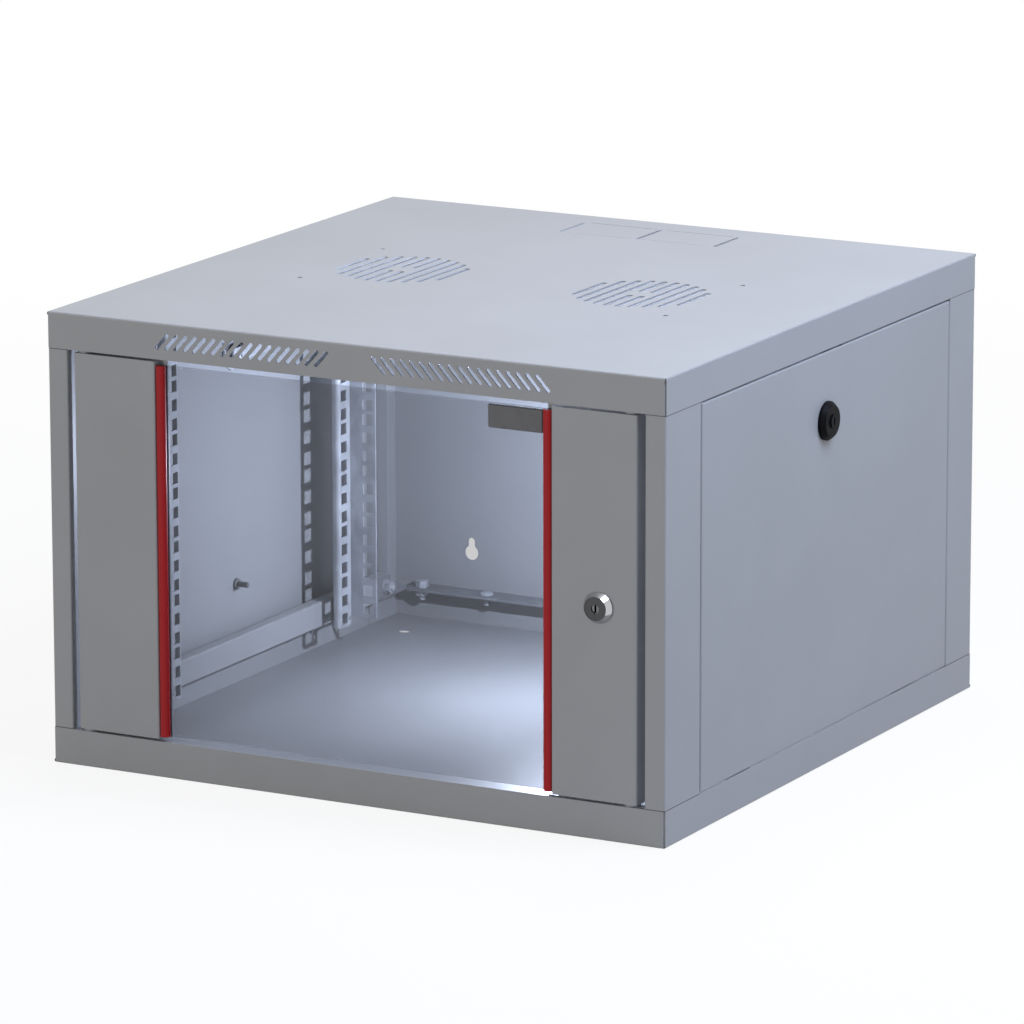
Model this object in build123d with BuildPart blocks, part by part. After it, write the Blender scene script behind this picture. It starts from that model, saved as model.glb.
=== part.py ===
from build123d import *
from math import atan2, degrees, sqrt
import os

# Wall mount network cabinet, 7 rack units high, millimetres.
# Origin: centre of the underside. +X is the right-hand side seen from the front,
# +Y points to the wall, +Z is up. The glass door is on the -Y side.

# Outside of the cabinet
width = 551.0
depth = 560.5
height = 370.0
sheet = 1.2
bend = 1.6

# Rack holes: three to a unit. With the sizes here the pitch is the standard 44.45,
# the hole columns are 465.1 apart and the rails leave 450 clear.
unit_count = 7
unit_holes = (1 / 7, 1 / 2, 6 / 7)
rack_hole = 9.5
rack_hole_inset = 7.55

# Folded edges of the top cover and of the bottom tray
lip = 29.425
front_return = 18.0
return_gap = 3.0
seam = 1.4
corner_relief = 2.2

# Corner posts and back wall
flush_inset = 0.3
post_face = 18.0
post_return = 20.0
front_post_side = 60.3
rear_wing_side = 49.1
post_flange = 20.5
joggle = 2.0

# Rails, carriers and crossbars
rail_sheet = 1.5
rail_bend = 2.2
rail_face = 27.6
rail_web = 27.0
rail_leg = 21.9
rail_leg_in = 19.0
rail_lip = 6.0
rail_beside_post = 2.4
rail_hole_back = 13.2
rail_pilot_radius = 1.9
rail_pilot_back = 4.9
rail_pilot_up = 5.9
rail_foot = 1.0
front_rail_setback = 82.7
rear_rail_back = 121.2
carrier_height = 22.0
carrier_bottom = 28.0
carrier_flange = 10.4
crossbar_back = 22.6
crossbar_top = 31.4
crossbar_sheet = 2.8
crossbar_tab = 56.9
crossbar_tab_height = 18.2
crossbar_tab_corner = 28.8
crossbar_tab_step = 5.6
crossbar_brace = 18.3
crossbar_brace_height = 9.6
crossbar_bolt_in = 37.0
crossbar_bolt_up = 8.5

# Side panels
panel_sheet = 1.0
panel_gap = 1.0
panel_top_gap = 1.7
panel_seat = 0.3
panel_return = 10.0
panel_tab_width = 40.0
panel_tab_drop = 14.0
panel_tab_spread = 150.0

# Side panel latches
latch_drop = 87.0
latch_disc_radius = 15.8
latch_disc_proud = 6.0
latch_barrel_radius = 9.0
latch_plug_radius = 5.5
latch_depth = 8.5
latch_nut_flats = 24.0
latch_nut = 3.5
latch_plug_proud = 1.2
latch_notch = (-10.0, 32.0)
cam_sheet = 2.0
cam_width = 14.0
latch_cam_reach = 62.0
latch_cam_crank = 16.0
latch_tip_gap = 1.6
latch_disc_edge = 2.5
latch_bevel = 3.0
cam_bend = 2.6
cam_hub_radius = 9.0

# Door
door_gap_side = 6.5
door_gap_end = 2.0
stile_width = 74.2
stile_depth = 16.5
stile_back_return = 10.0
glass_thickness = 4.0
glass_front = 4.0
glass_top_inset = 3.5
glass_bottom_inset = 1.8
glass_clearance = 0.4
tape_thickness = 1.0
glass_ledge = 7.0
trim_width = 8.0
trim_radius = 3.0
glass_arris = 0.6
hinge_inset = 7.0
hinge_setback = 7.5
pin_radius = 3.0
pin_clearance = 0.05
bush_wall = 1.5
bush_flange_radius = 6.5
bush_seat = 0.3
bush_tube = 4.8
pin_engagement = 6.0
pin_collar_radius = 5.0
pin_collar = 2.0
pin_bracket_drop = 20.0
pin_tail = 9.0
spring_radius = 4.6
spring_bore = 3.4
badge_length = 48.0
badge_height = 18.5
badge_thickness = 2.2
badge_corner = 1.5
badge_bevel = 0.8
badge_gap = 0.2
badge_drop = 9.9

# Door lock
lock_inset = 33.0
lock_bezel_radius = 12.5
lock_face_radius = 8.5
lock_proud = 6.5
lock_rim = 1.5
lock_crest = 0.8
lock_barrel_radius = 9.4
lock_barrel_depth = 20.2
lock_plug_radius = 6.0
lock_opening_radius = 3.4
lock_face_thickness = 1.1
lock_nut_flats = 22.0
lock_nut = 4.0
lock_plug_tail = 1.2
key_slot = 1.8
key_slot_width = 6.4
key_slot_deep = 8.0
lock_cam_reach = 47.0

# Openings in the top cover
slot_count = 18
slot_pitch = 8.476
slot_length = 17.3
slot_width = 3.2
slot_first = 25.5
slot_rise = 12.7
slot_run = 11.6
grille_x = 110.0
grille_radius = 54.6
grille_columns = 10
grille_pitch = 10.45
grille_slot = 5.0
grille_bridge = 14.6
fan_hole_x = 166.5
fan_hole_y = 68.5
fan_hole_radius = 2.25
knockout_width = 72.0
knockout_depth = 46.5
knockout_rear = 29.3
knockout_slit = 3.0
knockout_cut = 0.8
knockout_bridge = 5.0

# Openings in the bottom tray and in the back wall
foot_hole_side = 40.5
foot_hole_end = 55.25
foot_hole_radius = 4.75
keyhole_side = 77.0
keyhole_edge = 73.5
keyhole_radius = 6.5
keyhole_slot_radius = 3.25
keyhole_drop = 10.0

# Fasteners
m4_radius = 2.0
m4_head_radius = 3.7
m4_head = 2.4
m5_radius = 2.5
m5_head_radius = 4.7
m5_head = 3.0
m6_radius = 3.0
m6_flats = 10.0
m6_nut = 5.0
m6_washer_radius = 6.25
m6_washer = 1.6
hole_clearance = 0.2
thread_clearance = 0.05
m4_length = 8.0
m5_length = 8.5
m6_head = 4.0
earth_bolt_side = 35.0
clamp_screw_side = 98.6
earth_bolt_back = 14.2
earth_bolt_head = 6.0
earth_bolt_length = 11.7
clamp_length = 9.6
clamp_head_radius = 5.8
pan_shoulder = 0.55
pan_crown = 0.6
stud_behind_middle = 6.75
stud_height = 86.0
stud_length = 12.0
stud_flange_radius = 5.0
stud_flange = 2.0

# Derived places
half_width = width / 2
front = -depth / 2
back = depth / 2
opening_bottom = lip
opening_top = height - lip
skin = half_width - flush_inset
post_inner = half_width - post_face
post_flange_inner = half_width - post_flange
return_half = post_inner - return_gap
wing_front = back - rear_wing_side
tongue_front = front + sheet
tongue_side = half_width - sheet
tongue_back = back - sheet
front_rail_plane = front + front_rail_setback
rear_rail_plane = back - rear_rail_back
rail_bottom = opening_bottom - rail_foot
carrier_inner = post_flange_inner - rail_beside_post
rail_web_inner = carrier_inner - rail_sheet
rail_leg_inner = carrier_inner - rail_leg_in
rack_clear_half = carrier_inner - rail_face
rack_hole_column = rack_clear_half + rack_hole_inset
unit_pitch = (height - 2 * lip) / unit_count
mid_depth = (front + back) / 2
latch_height = height - latch_drop
foot_hole_x = half_width - foot_hole_side
foot_hole_y = depth / 2 - foot_hole_end
keyhole_x = half_width - keyhole_side
earth_bolt_x = half_width - earth_bolt_side
clamp_screw_x = half_width - clamp_screw_side
earth_bolt_y = back - earth_bolt_back
door_half = post_inner - door_gap_side
door_bottom = opening_bottom + door_gap_end
door_top = opening_top - door_gap_end
stile_inner = door_half - stile_width
lock_x = door_half - lock_inset
lock_height = height / 2
hinge_x = -(door_half - hinge_inset)
hinge_y = front + hinge_setback
slot_angle = degrees(atan2(slot_rise, slot_run))
slot_band = (opening_top + height) / 2
m4_hole = m4_radius + hole_clearance
m4_tapped = m4_radius + thread_clearance
m5_hole = m5_radius + hole_clearance
m6_hole = m6_radius + hole_clearance
m6_thread = m6_radius + thread_clearance
bush_radius = pin_radius + bush_wall
pin_bore = pin_radius + pin_clearance
hole_heights = [
    opening_bottom + (unit + rise) * unit_pitch
    for unit in range(unit_count)
    for rise in unit_holes
]


def folded(points, thickness, low, high, side, radius):
    """A folded sheet: an open outline seen from above, given a thickness and a height."""
    with BuildPart() as sheet_metal:
        with BuildSketch(Plane.XY.offset(low)):
            with BuildLine():
                FilletPolyline(*points, radius=radius)
                offset(amount=thickness, side=side)
            make_face()
        extrude(amount=high - low)
    return sheet_metal.part


def block(x_range, y_range, z_range):
    """A plain block between three pairs of limits."""
    x_low, x_high = x_range
    y_low, y_high = y_range
    z_low, z_high = z_range
    with BuildPart() as solid:
        with BuildSketch(Plane.XY.offset(z_low)):
            with Locations(((x_low + x_high) / 2, (y_low + y_high) / 2)):
                Rectangle(x_high - x_low, y_high - y_low)
        extrude(amount=z_high - z_low)
    return solid.part


def turned(outline, plane):
    """A turned piece: a closed outline of (radius, distance) points about the plane's normal."""
    with BuildPart() as solid:
        with BuildSketch(Plane(origin=plane.origin, x_dir=plane.x_dir, z_dir=plane.y_dir * -1)):
            with BuildLine():
                Polyline(*outline, close=True)
            make_face()
        revolve(axis=Axis(plane.origin, plane.z_dir))
    return solid.part


def rod(plane, radius, low, high):
    """A round rod along the plane's normal."""
    with BuildPart() as solid:
        with BuildSketch(plane.offset(low)):
            Circle(radius)
        extrude(amount=high - low)
    return solid.part


def button_screw(plane, radius, head_radius, head, length):
    """A pan head screw: the seat lies on the plane and the head on its positive side."""
    outline = [(0, -length), (radius, -length), (radius, 0), (head_radius, 0)]
    outline += [(head_radius, head * pan_shoulder), (head_radius * pan_crown, head), (0, head)]
    return turned(outline, plane)


def hex_piece(plane, flats, low, high, bore):
    """A hexagonal nut, or a bolt head where the bore is zero."""
    with BuildPart() as solid:
        with BuildSketch(plane.offset(low)):
            RegularPolygon(radius=flats / 2, side_count=6, major_radius=False)
            if bore:
                Circle(bore, mode=Mode.SUBTRACT)
        extrude(amount=high - low)
    return solid.part


def side_plane(x, y, z, outward):
    """A plane square to X, with its normal on the side given by outward (1 or -1)."""
    return Plane(origin=(x, y, z), x_dir=(0, 1, 0), z_dir=(outward, 0, 0))


def save(piece, name):
    """Label a finished piece and write its file."""
    piece.part.label = name
    export_step(piece.part, f"parts/{name}.step")


os.makedirs("parts", exist_ok=True)


# Top cover: a roof with lips folded down on four sides
with BuildPart() as top_cover:
    with BuildSketch(Plane.XY.offset(opening_top)):
        Rectangle(width, depth)
    extrude(amount=lip)
    fillet(top_cover.faces().sort_by(Axis.Z)[-1].edges(), radius=bend)
    with BuildSketch(Plane.XY.offset(opening_top)):
        Rectangle(width - 2 * sheet, depth - 2 * sheet)
    extrude(amount=lip - sheet, mode=Mode.SUBTRACT)
    with BuildSketch(Plane.XY.offset(opening_top)):
        with Locations((0, front + front_return / 2)):
            Rectangle(2 * return_half, front_return)
    extrude(amount=sheet)
    with BuildSketch(Plane.XY.offset(opening_top)):
        with GridLocations(width - seam, depth - seam, 2, 2):
            Rectangle(seam, seam)
    extrude(amount=lip - sheet - bend, mode=Mode.SUBTRACT)
    with BuildSketch(Plane.XY.offset(opening_top)):
        with Locations((hinge_x, hinge_y), (-hinge_x, hinge_y)):
            Circle(bush_radius)
    extrude(amount=sheet, mode=Mode.SUBTRACT)

    # Vent slots in the front lip, leaning towards the middle
    for hand in (-1, 1):
        centres = [(hand * (slot_first + k * slot_pitch), slot_band) for k in range(slot_count)]
        with BuildSketch(Plane.XZ.offset(-front)):
            with Locations(*centres):
                SlotOverall(slot_length, slot_width, rotation=-hand * slot_angle)
        extrude(amount=-2 * sheet, mode=Mode.SUBTRACT)

    # Two round fan grilles of front-to-back slots
    for hand in (-1, 1):
        with BuildSketch(Plane.XY.offset(height)):
            for k in range(grille_columns):
                across = (k - (grille_columns - 1) / 2) * grille_pitch
                reach = sqrt(grille_radius**2 - across**2)
                x = hand * grille_x + across
                if abs(across) < grille_pitch:
                    length = reach - grille_bridge / 2
                    for end in (-1, 1):
                        with Locations((x, end * (reach + grille_bridge / 2) / 2)):
                            SlotOverall(length, grille_slot, rotation=90)
                else:
                    with Locations((x, 0)):
                        SlotOverall(2 * reach, grille_slot, rotation=90)
        extrude(amount=-2 * sheet, mode=Mode.SUBTRACT)

    # Screw holes of a two-fan tray
    with BuildSketch(Plane.XY.offset(height)):
        with GridLocations(2 * fan_hole_x, 2 * fan_hole_y, 2, 2):
            Circle(fan_hole_radius)
    extrude(amount=-2 * sheet, mode=Mode.SUBTRACT)

    # Two cable knock-outs held by small bridges at their corners
    knockout_y = back - knockout_rear - knockout_depth / 2
    with BuildSketch(Plane.XY.offset(height)):
        with Locations((0, knockout_y)):
            with GridLocations(knockout_width, 0, 3, 1):
                SlotOverall(knockout_depth, knockout_slit, rotation=90)
            with GridLocations(knockout_width, knockout_depth - knockout_cut, 2, 2):
                Rectangle(knockout_width - 2 * knockout_bridge, knockout_cut)
    extrude(amount=-2 * sheet, mode=Mode.SUBTRACT)

# Bottom tray: a floor with lips folded up on four sides
with BuildPart() as bottom_tray:
    with BuildSketch():
        Rectangle(width, depth)
    extrude(amount=lip)
    fillet(bottom_tray.faces().sort_by(Axis.Z)[0].edges(), radius=bend)
    with BuildSketch(Plane.XY.offset(sheet)):
        Rectangle(width - 2 * sheet, depth - 2 * sheet)
    extrude(amount=lip - sheet, mode=Mode.SUBTRACT)
    with BuildSketch(Plane.XY.offset(opening_bottom - sheet)):
        with Locations((0, front + front_return / 2)):
            Rectangle(2 * return_half, front_return)
    extrude(amount=sheet)
    with BuildSketch(Plane.XY.offset(sheet + bend)):
        with GridLocations(width - seam, depth - seam, 2, 2):
            Rectangle(seam, seam)
    extrude(amount=lip - sheet - bend, mode=Mode.SUBTRACT)
    with BuildSketch(Plane.XY.offset(opening_bottom)):
        with Locations((hinge_x, hinge_y), (-hinge_x, hinge_y)):
            Circle(bush_radius)
    extrude(amount=-sheet, mode=Mode.SUBTRACT)
    with BuildSketch():
        with GridLocations(2 * foot_hole_x, 2 * foot_hole_y, 2, 2):
            Circle(foot_hole_radius)
        with GridLocations(width - 2 * corner_relief - seam, depth - 2 * corner_relief - seam, 2, 2):
            Circle(corner_relief)
    extrude(amount=sheet, mode=Mode.SUBTRACT)

# Front post: an open box section whose ends step in behind the lips
post_outline = [
    (post_inner, front + post_return),
    (post_inner, front + flush_inset),
    (skin, front + flush_inset),
    (skin, front + front_post_side),
    (post_flange_inner, front + front_post_side),
]
tongue_outline = [
    (post_inner + joggle, tongue_front),
    (tongue_side, tongue_front),
    (tongue_side, front + front_post_side),
]
step_outline = [
    (post_inner + joggle, front + flush_inset),
    (skin, front + flush_inset),
    (skin, front + front_post_side),
]
carrier_middle = carrier_bottom + carrier_height / 2
carrier_screw_heights = (carrier_middle, height - carrier_middle)
carrier_screw_x = (post_flange_inner + carrier_inner + carrier_flange) / 2
with BuildPart() as front_post_right:
    add(folded(post_outline, sheet, opening_bottom, opening_top, Side.LEFT, bend))
    for low, high in ((sheet, opening_bottom + joggle), (opening_top - joggle, height - sheet)):
        add(folded(tongue_outline, sheet, low, high, Side.LEFT, bend))
    for low in (opening_bottom, opening_top - joggle):
        add(folded(step_outline, 2 * sheet - flush_inset, low, low + joggle, Side.LEFT, bend))
    with BuildSketch(Plane.XZ.offset(-front - front_post_side)):
        with Locations(*[(carrier_screw_x, z) for z in carrier_screw_heights]):
            Circle(m5_hole)
    extrude(amount=2 * sheet, both=True, mode=Mode.SUBTRACT)
with BuildPart() as front_post_left:
    mirror(front_post_right.part, about=Plane.YZ)

# Back wall: one folded piece with two side wings, hung on four keyholes
wing_outline = [
    (post_flange_inner, wing_front),
    (skin, wing_front),
    (skin, back - flush_inset),
    (0, back - flush_inset),
]
wing_tongue = [(tongue_side, wing_front), (tongue_side, tongue_back), (0, tongue_back)]
wing_step = [(skin, wing_front), (skin, back - flush_inset), (0, back - flush_inset)]
keyhole_seats = (keyhole_edge, height - keyhole_edge)
with BuildPart() as back_wall:
    add(folded(wing_outline, sheet, opening_bottom, opening_top, Side.LEFT, bend))
    for low, high in ((sheet, opening_bottom + joggle), (opening_top - joggle, height - sheet)):
        add(folded(wing_tongue, sheet, low, high, Side.LEFT, bend))
    for low in (opening_bottom, opening_top - joggle):
        add(folded(wing_step, 2 * sheet - flush_inset, low, low + joggle, Side.LEFT, bend))
    mirror(about=Plane.YZ)
    with BuildSketch(Plane.XZ.offset(-wing_front)):
        with Locations((0, height / 2)):
            with GridLocations(2 * carrier_screw_x, height - 2 * carrier_middle, 2, 2):
                Circle(m5_hole)
    extrude(amount=2 * sheet, both=True, mode=Mode.SUBTRACT)
    with BuildSketch(Plane.XZ.offset(-back)):
        for x in (-keyhole_x, keyhole_x):
            for seat in keyhole_seats:
                with Locations((x, seat - keyhole_drop)):
                    Circle(keyhole_radius)
                with Locations((x, seat - keyhole_drop / 2)):
                    Rectangle(2 * keyhole_slot_radius, keyhole_drop)
                with Locations((x, seat)):
                    Circle(keyhole_slot_radius)
    extrude(amount=3 * sheet, mode=Mode.SUBTRACT)

# Side carriers: channels between the corner posts that hold the rails
rail_screw_in = (rail_web + rail_sheet) / 2
rail_screws_y = (front_rail_plane + rail_screw_in, rear_rail_plane - rail_screw_in)
crossbar_front = back - crossbar_back
crossbar_bolt_y = crossbar_front - crossbar_bolt_in
crossbar_bolt_z = crossbar_top + crossbar_bolt_up
carrier_outer = carrier_inner + carrier_flange
with BuildPart() as carrier_lower_right:
    with BuildSketch(Plane.XZ.offset(-front - front_post_side)):
        with BuildLine():
            FilletPolyline(
                (carrier_outer, carrier_bottom),
                (carrier_inner, carrier_bottom),
                (carrier_inner, carrier_bottom + carrier_height),
                (carrier_outer, carrier_bottom + carrier_height),
                radius=bend,
            )
            offset(amount=sheet, side=Side.RIGHT)
        make_face()
    extrude(amount=-(wing_front - front - front_post_side))
    for end in (front + front_post_side, wing_front - sheet):
        carrier_z = (carrier_bottom, carrier_bottom + carrier_height)
        add(block((carrier_inner + bend, carrier_outer), (end, end + sheet), carrier_z))
    with BuildSketch(Plane.XZ.offset(-wing_front)):
        with Locations((carrier_screw_x, carrier_screw_heights[0])):
            Circle(m5_hole)
    extrude(amount=wing_front - front, mode=Mode.SUBTRACT)
    with BuildSketch(Plane.YZ.offset(carrier_inner)):
        with Locations(*[(y, carrier_screw_heights[0]) for y in rail_screws_y]):
            Circle(m4_hole)
        with Locations((crossbar_bolt_y, crossbar_bolt_z)):
            Circle(m6_hole)
    extrude(amount=sheet, mode=Mode.SUBTRACT)
with BuildPart() as carrier_lower_left:
    mirror(carrier_lower_right.part, about=Plane.YZ)
with BuildPart() as carrier_upper_right:
    mirror(carrier_lower_right.part, about=Plane.XY.offset(height / 2))
with BuildPart() as carrier_upper_left:
    mirror(carrier_upper_right.part, about=Plane.YZ)

# Rails: a face and a leg with the rack holes, joined by a web that lies on the carriers


def rack_rail(face, inward):
    """A right-hand rail with its face at that depth and its leg on the inward side."""
    web_end = face + inward * (rail_web + rail_sheet)
    leg_end = face + inward * (rail_web + rail_leg - rail_sheet)
    leg_outer = rail_leg_inner + rail_sheet
    outline = [
        (rack_clear_half, face),
        (carrier_inner, face),
        (carrier_inner, web_end),
        (leg_outer, web_end),
        (leg_outer, leg_end),
        (rail_leg_inner + rail_lip, leg_end),
    ]
    side = Side.LEFT if inward > 0 else Side.RIGHT
    leg_start = face + inward * rail_web
    with BuildPart() as rail:
        add(folded(outline, rail_sheet, rail_bottom, height - rail_bottom, side, rail_bend))
        with BuildSketch(Plane.XZ.offset(-face)):
            with Locations(*[(rack_hole_column, z) for z in hole_heights]):
                Rectangle(rack_hole, rack_hole)
        extrude(amount=-inward * rail_sheet, mode=Mode.SUBTRACT)
        with BuildSketch(Plane.YZ.offset(rail_leg_inner)):
            with Locations(*[(leg_start + inward * rail_hole_back, z) for z in hole_heights]):
                Rectangle(rack_hole, rack_hole)
            with Locations(*[(leg_start + inward * rail_pilot_back, z) for z in pilot_heights]):
                Circle(rail_pilot_radius)
        extrude(amount=rail_sheet, mode=Mode.SUBTRACT)
        with BuildSketch(Plane.YZ.offset(rail_web_inner)):
            with Locations(*[(face + inward * rail_screw_in, z) for z in carrier_screw_heights]):
                Circle(m4_hole)
        extrude(amount=rail_sheet, mode=Mode.SUBTRACT)
    return rail.part


pilot_heights = (rail_bottom + rail_pilot_up, height - rail_bottom - rail_pilot_up)
with BuildPart() as rail_front_right:
    add(rack_rail(front_rail_plane, 1))
with BuildPart() as rail_front_left:
    mirror(rail_front_right.part, about=Plane.YZ)
with BuildPart() as rail_rear_right:
    add(rack_rail(rear_rail_plane, -1))
with BuildPart() as rail_rear_left:
    mirror(rail_rear_right.part, about=Plane.YZ)

# Crossbars: hemmed strips along the back wall with a tab at each end on the carriers
wall_face = tongue_back - sheet
bar_range = (crossbar_top - crossbar_sheet, crossbar_top)
with BuildPart() as crossbar_lower:
    add(block((-carrier_inner, carrier_inner), (crossbar_front, wall_face), bar_range))
    with BuildSketch(Plane.YZ.offset(rail_web_inner)):
        with BuildLine():
            tab_top = crossbar_top + crossbar_tab_height
            Polyline(
                (crossbar_front - crossbar_tab, crossbar_top - rail_sheet),
                (crossbar_front + rail_sheet, crossbar_top - rail_sheet),
                (crossbar_front + rail_sheet, crossbar_top),
                (crossbar_front - crossbar_brace, crossbar_top + crossbar_brace_height),
                (crossbar_front - crossbar_tab_corner, tab_top - crossbar_tab_step),
                (crossbar_front - crossbar_tab_corner, tab_top),
                (crossbar_front - crossbar_tab, tab_top),
                close=True,
            )
        make_face()
        with Locations((crossbar_bolt_y, crossbar_bolt_z)):
            Circle(m6_hole, mode=Mode.SUBTRACT)
    extrude(amount=rail_sheet)
    mirror(about=Plane.YZ)
    with BuildSketch(Plane.XY.offset(crossbar_top)):
        with Locations((-earth_bolt_x, earth_bolt_y)):
            Circle(m6_hole)
        with Locations((-clamp_screw_x, earth_bolt_y)):
            Circle(m6_hole)
    extrude(amount=-crossbar_sheet, mode=Mode.SUBTRACT)
with BuildPart() as crossbar_upper:
    mirror(crossbar_lower.part, about=Plane.XY.offset(height / 2))

# Fasteners of the frame, one node for each kind
crossbar_bolt_heights = (crossbar_bolt_z, height - crossbar_bolt_z)
bolt_grip = sheet + rail_sheet + m6_washer + m6_nut + joggle
with BuildPart() as crossbar_bolts:
    for hand in (-1, 1):
        for z in crossbar_bolt_heights:
            seat = side_plane(hand * (carrier_inner + sheet), crossbar_bolt_y, z, hand)
            add(hex_piece(seat, m6_flats, 0, m6_head, 0))
            add(rod(seat, m6_radius, -bolt_grip, 0))
with BuildPart() as crossbar_washers:
    for hand in (-1, 1):
        for z in crossbar_bolt_heights:
            seat = side_plane(hand * rail_web_inner, crossbar_bolt_y, z, -hand)
            with BuildSketch(seat):
                Circle(m6_washer_radius)
                Circle(m6_hole, mode=Mode.SUBTRACT)
            extrude(amount=m6_washer)
with BuildPart() as crossbar_nuts:
    for hand in (-1, 1):
        for z in crossbar_bolt_heights:
            seat = side_plane(hand * (rail_web_inner - m6_washer), crossbar_bolt_y, z, -hand)
            add(hex_piece(seat, m6_flats, 0, m6_nut, m6_thread))
with BuildPart() as carrier_screws:
    for hand in (-1, 1):
        for z in carrier_screw_heights:
            for y, facing in ((front + front_post_side + sheet, 1), (wing_front - sheet, -1)):
                place = (hand * carrier_screw_x, y, z)
                seat = Plane(origin=place, x_dir=(1, 0, 0), z_dir=(0, facing, 0))
                add(button_screw(seat, m5_radius, m5_head_radius, m5_head, m5_length))
with BuildPart() as rail_screws:
    for hand in (-1, 1):
        for z in carrier_screw_heights:
            for y in rail_screws_y:
                seat = side_plane(hand * rail_web_inner, y, z, -hand)
                add(button_screw(seat, m4_radius, m4_head_radius, m4_head, m4_length))

# Earth bolt with its nut, and a cable clamp screw, on the lower crossbar
earth_seat = Plane(origin=(-earth_bolt_x, earth_bolt_y, crossbar_top))
clamp_seat = Plane(origin=(-clamp_screw_x, earth_bolt_y, crossbar_top))
with BuildPart() as earth_bolt:
    add(hex_piece(earth_seat, m6_flats, 0, earth_bolt_head, 0))
    add(rod(earth_seat, m6_radius, -earth_bolt_length, 0))
with BuildPart() as earth_bolt_nut:
    add(hex_piece(earth_seat, m6_flats, -crossbar_sheet - m6_nut, -crossbar_sheet, m6_thread))
with BuildPart() as cable_clamp_screw:
    add(button_screw(clamp_seat, m6_radius, clamp_head_radius, m5_head, clamp_length))

# Hinge bushes: nylon, in both hands of the two front returns, as the door can be reversed
bush_flange = door_gap_end - bush_seat
with BuildPart() as hinge_bushes:
    for hand in (-1, 1):
        for z, facing in ((opening_bottom, 1), (opening_top, -1)):
            seat = Plane(origin=(hand * hinge_x, hinge_y, z), x_dir=(1, 0, 0), z_dir=(0, 0, facing))
            outline = [(pin_bore, -bush_tube), (bush_radius, -bush_tube)]
            outline += [(bush_radius, 0), (bush_flange_radius, 0)]
            outline += [(bush_flange_radius, bush_flange), (pin_bore, bush_flange)]
            add(turned(outline, seat))

# Side panel: a shallow pan that stands on two tabs behind the lower lip
panel_front = front + front_post_side + panel_gap
panel_back = wing_front - panel_gap
panel_bottom = opening_bottom + panel_seat
panel_top = opening_top - panel_top_gap
tab_outer = tongue_side - panel_seat
with BuildPart() as side_panel_right:
    with BuildSketch(Plane.YZ.offset(skin - panel_return)):
        with Locations(((panel_front + panel_back) / 2, (panel_bottom + panel_top) / 2)):
            Rectangle(panel_back - panel_front, panel_top - panel_bottom)
    extrude(amount=panel_return)
    fillet(side_panel_right.faces().sort_by(Axis.X)[-1].edges(), radius=bend)
    with BuildSketch(Plane.YZ.offset(skin - panel_return)):
        with Locations(((panel_front + panel_back) / 2, (panel_bottom + panel_top) / 2)):
            Rectangle(
                panel_back - panel_front - 2 * panel_sheet,
                panel_top - panel_bottom - 2 * panel_sheet,
            )
    extrude(amount=panel_return - panel_sheet, mode=Mode.SUBTRACT)
    for middle in (-panel_tab_spread, panel_tab_spread):
        tab_y = (middle - panel_tab_width / 2, middle + panel_tab_width / 2)
        tab_z = (opening_bottom - panel_tab_drop, panel_bottom + panel_sheet)
        add(block((tab_outer - panel_sheet, tab_outer), tab_y, tab_z))
    with BuildSketch(Plane.YZ.offset(skin)):
        with Locations((mid_depth, latch_height)):
            Circle(latch_barrel_radius + hole_clearance)
    extrude(amount=-2 * panel_sheet, mode=Mode.SUBTRACT)
    notch_x = (skin - panel_return, skin - panel_sheet)
    notch_z = (panel_top - 2 * panel_sheet, panel_top)
    add(block(notch_x, latch_notch, notch_z), mode=Mode.SUBTRACT)
with BuildPart() as side_panel_left:
    mirror(side_panel_right.part, about=Plane.YZ)

# Earth stud welded inside each side panel
with BuildPart() as earth_stud_right:
    seat = side_plane(skin - panel_sheet, mid_depth + stud_behind_middle, stud_height, -1)
    add(rod(seat, stud_flange_radius, 0, stud_flange))
    add(rod(seat, m5_radius, 0, stud_length))
with BuildPart() as earth_stud_left:
    mirror(earth_stud_right.part, about=Plane.YZ)

# Side panel latch: body, ring nut, key plug and cranked cam
latch_seat = side_plane(skin, mid_depth, latch_height, 1)
latch_end = hole_clearance - latch_depth
latch_thread = latch_barrel_radius + thread_clearance
plug_bore = latch_plug_radius + pin_clearance
with BuildPart() as latch_body_right:
    outline = [(plug_bore, latch_end), (latch_barrel_radius, latch_end)]
    outline += [(latch_barrel_radius, 0), (latch_disc_radius, 0), (latch_disc_radius, latch_disc_edge)]
    outline += [(latch_disc_radius - latch_bevel, latch_disc_proud), (plug_bore, latch_disc_proud)]
    add(turned(outline, latch_seat))
with BuildPart() as latch_nut_right:
    add(hex_piece(latch_seat, latch_nut_flats, -panel_sheet - latch_nut, -panel_sheet, latch_thread))
with BuildPart() as latch_plug_right:
    add(rod(latch_seat, latch_plug_radius, -latch_depth, latch_disc_proud + latch_plug_proud))
    with BuildSketch(latch_seat.offset(latch_disc_proud + latch_plug_proud)):
        Rectangle(key_slot, key_slot_width)
    extrude(amount=-key_slot_deep / 2, mode=Mode.SUBTRACT)
    tapped_end = m4_length - latch_depth - cam_sheet
    add(rod(latch_seat, m4_tapped, -latch_depth, tapped_end), mode=Mode.SUBTRACT)
with BuildPart() as latch_cam_right:
    hub_face = skin - latch_depth
    tip_face = tongue_side - latch_tip_gap
    crank = [
        (hub_face, -latch_barrel_radius),
        (hub_face, latch_cam_crank),
        (tip_face, latch_cam_crank + tip_face - hub_face),
        (tip_face, latch_cam_reach),
    ]
    cam_low = latch_height - cam_width / 2
    add(folded(crank, cam_sheet, cam_low, cam_low + cam_width, Side.LEFT, cam_bend))
    add(rod(latch_seat, m4_hole, -latch_depth - cam_sheet, -latch_depth), mode=Mode.SUBTRACT)
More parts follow.
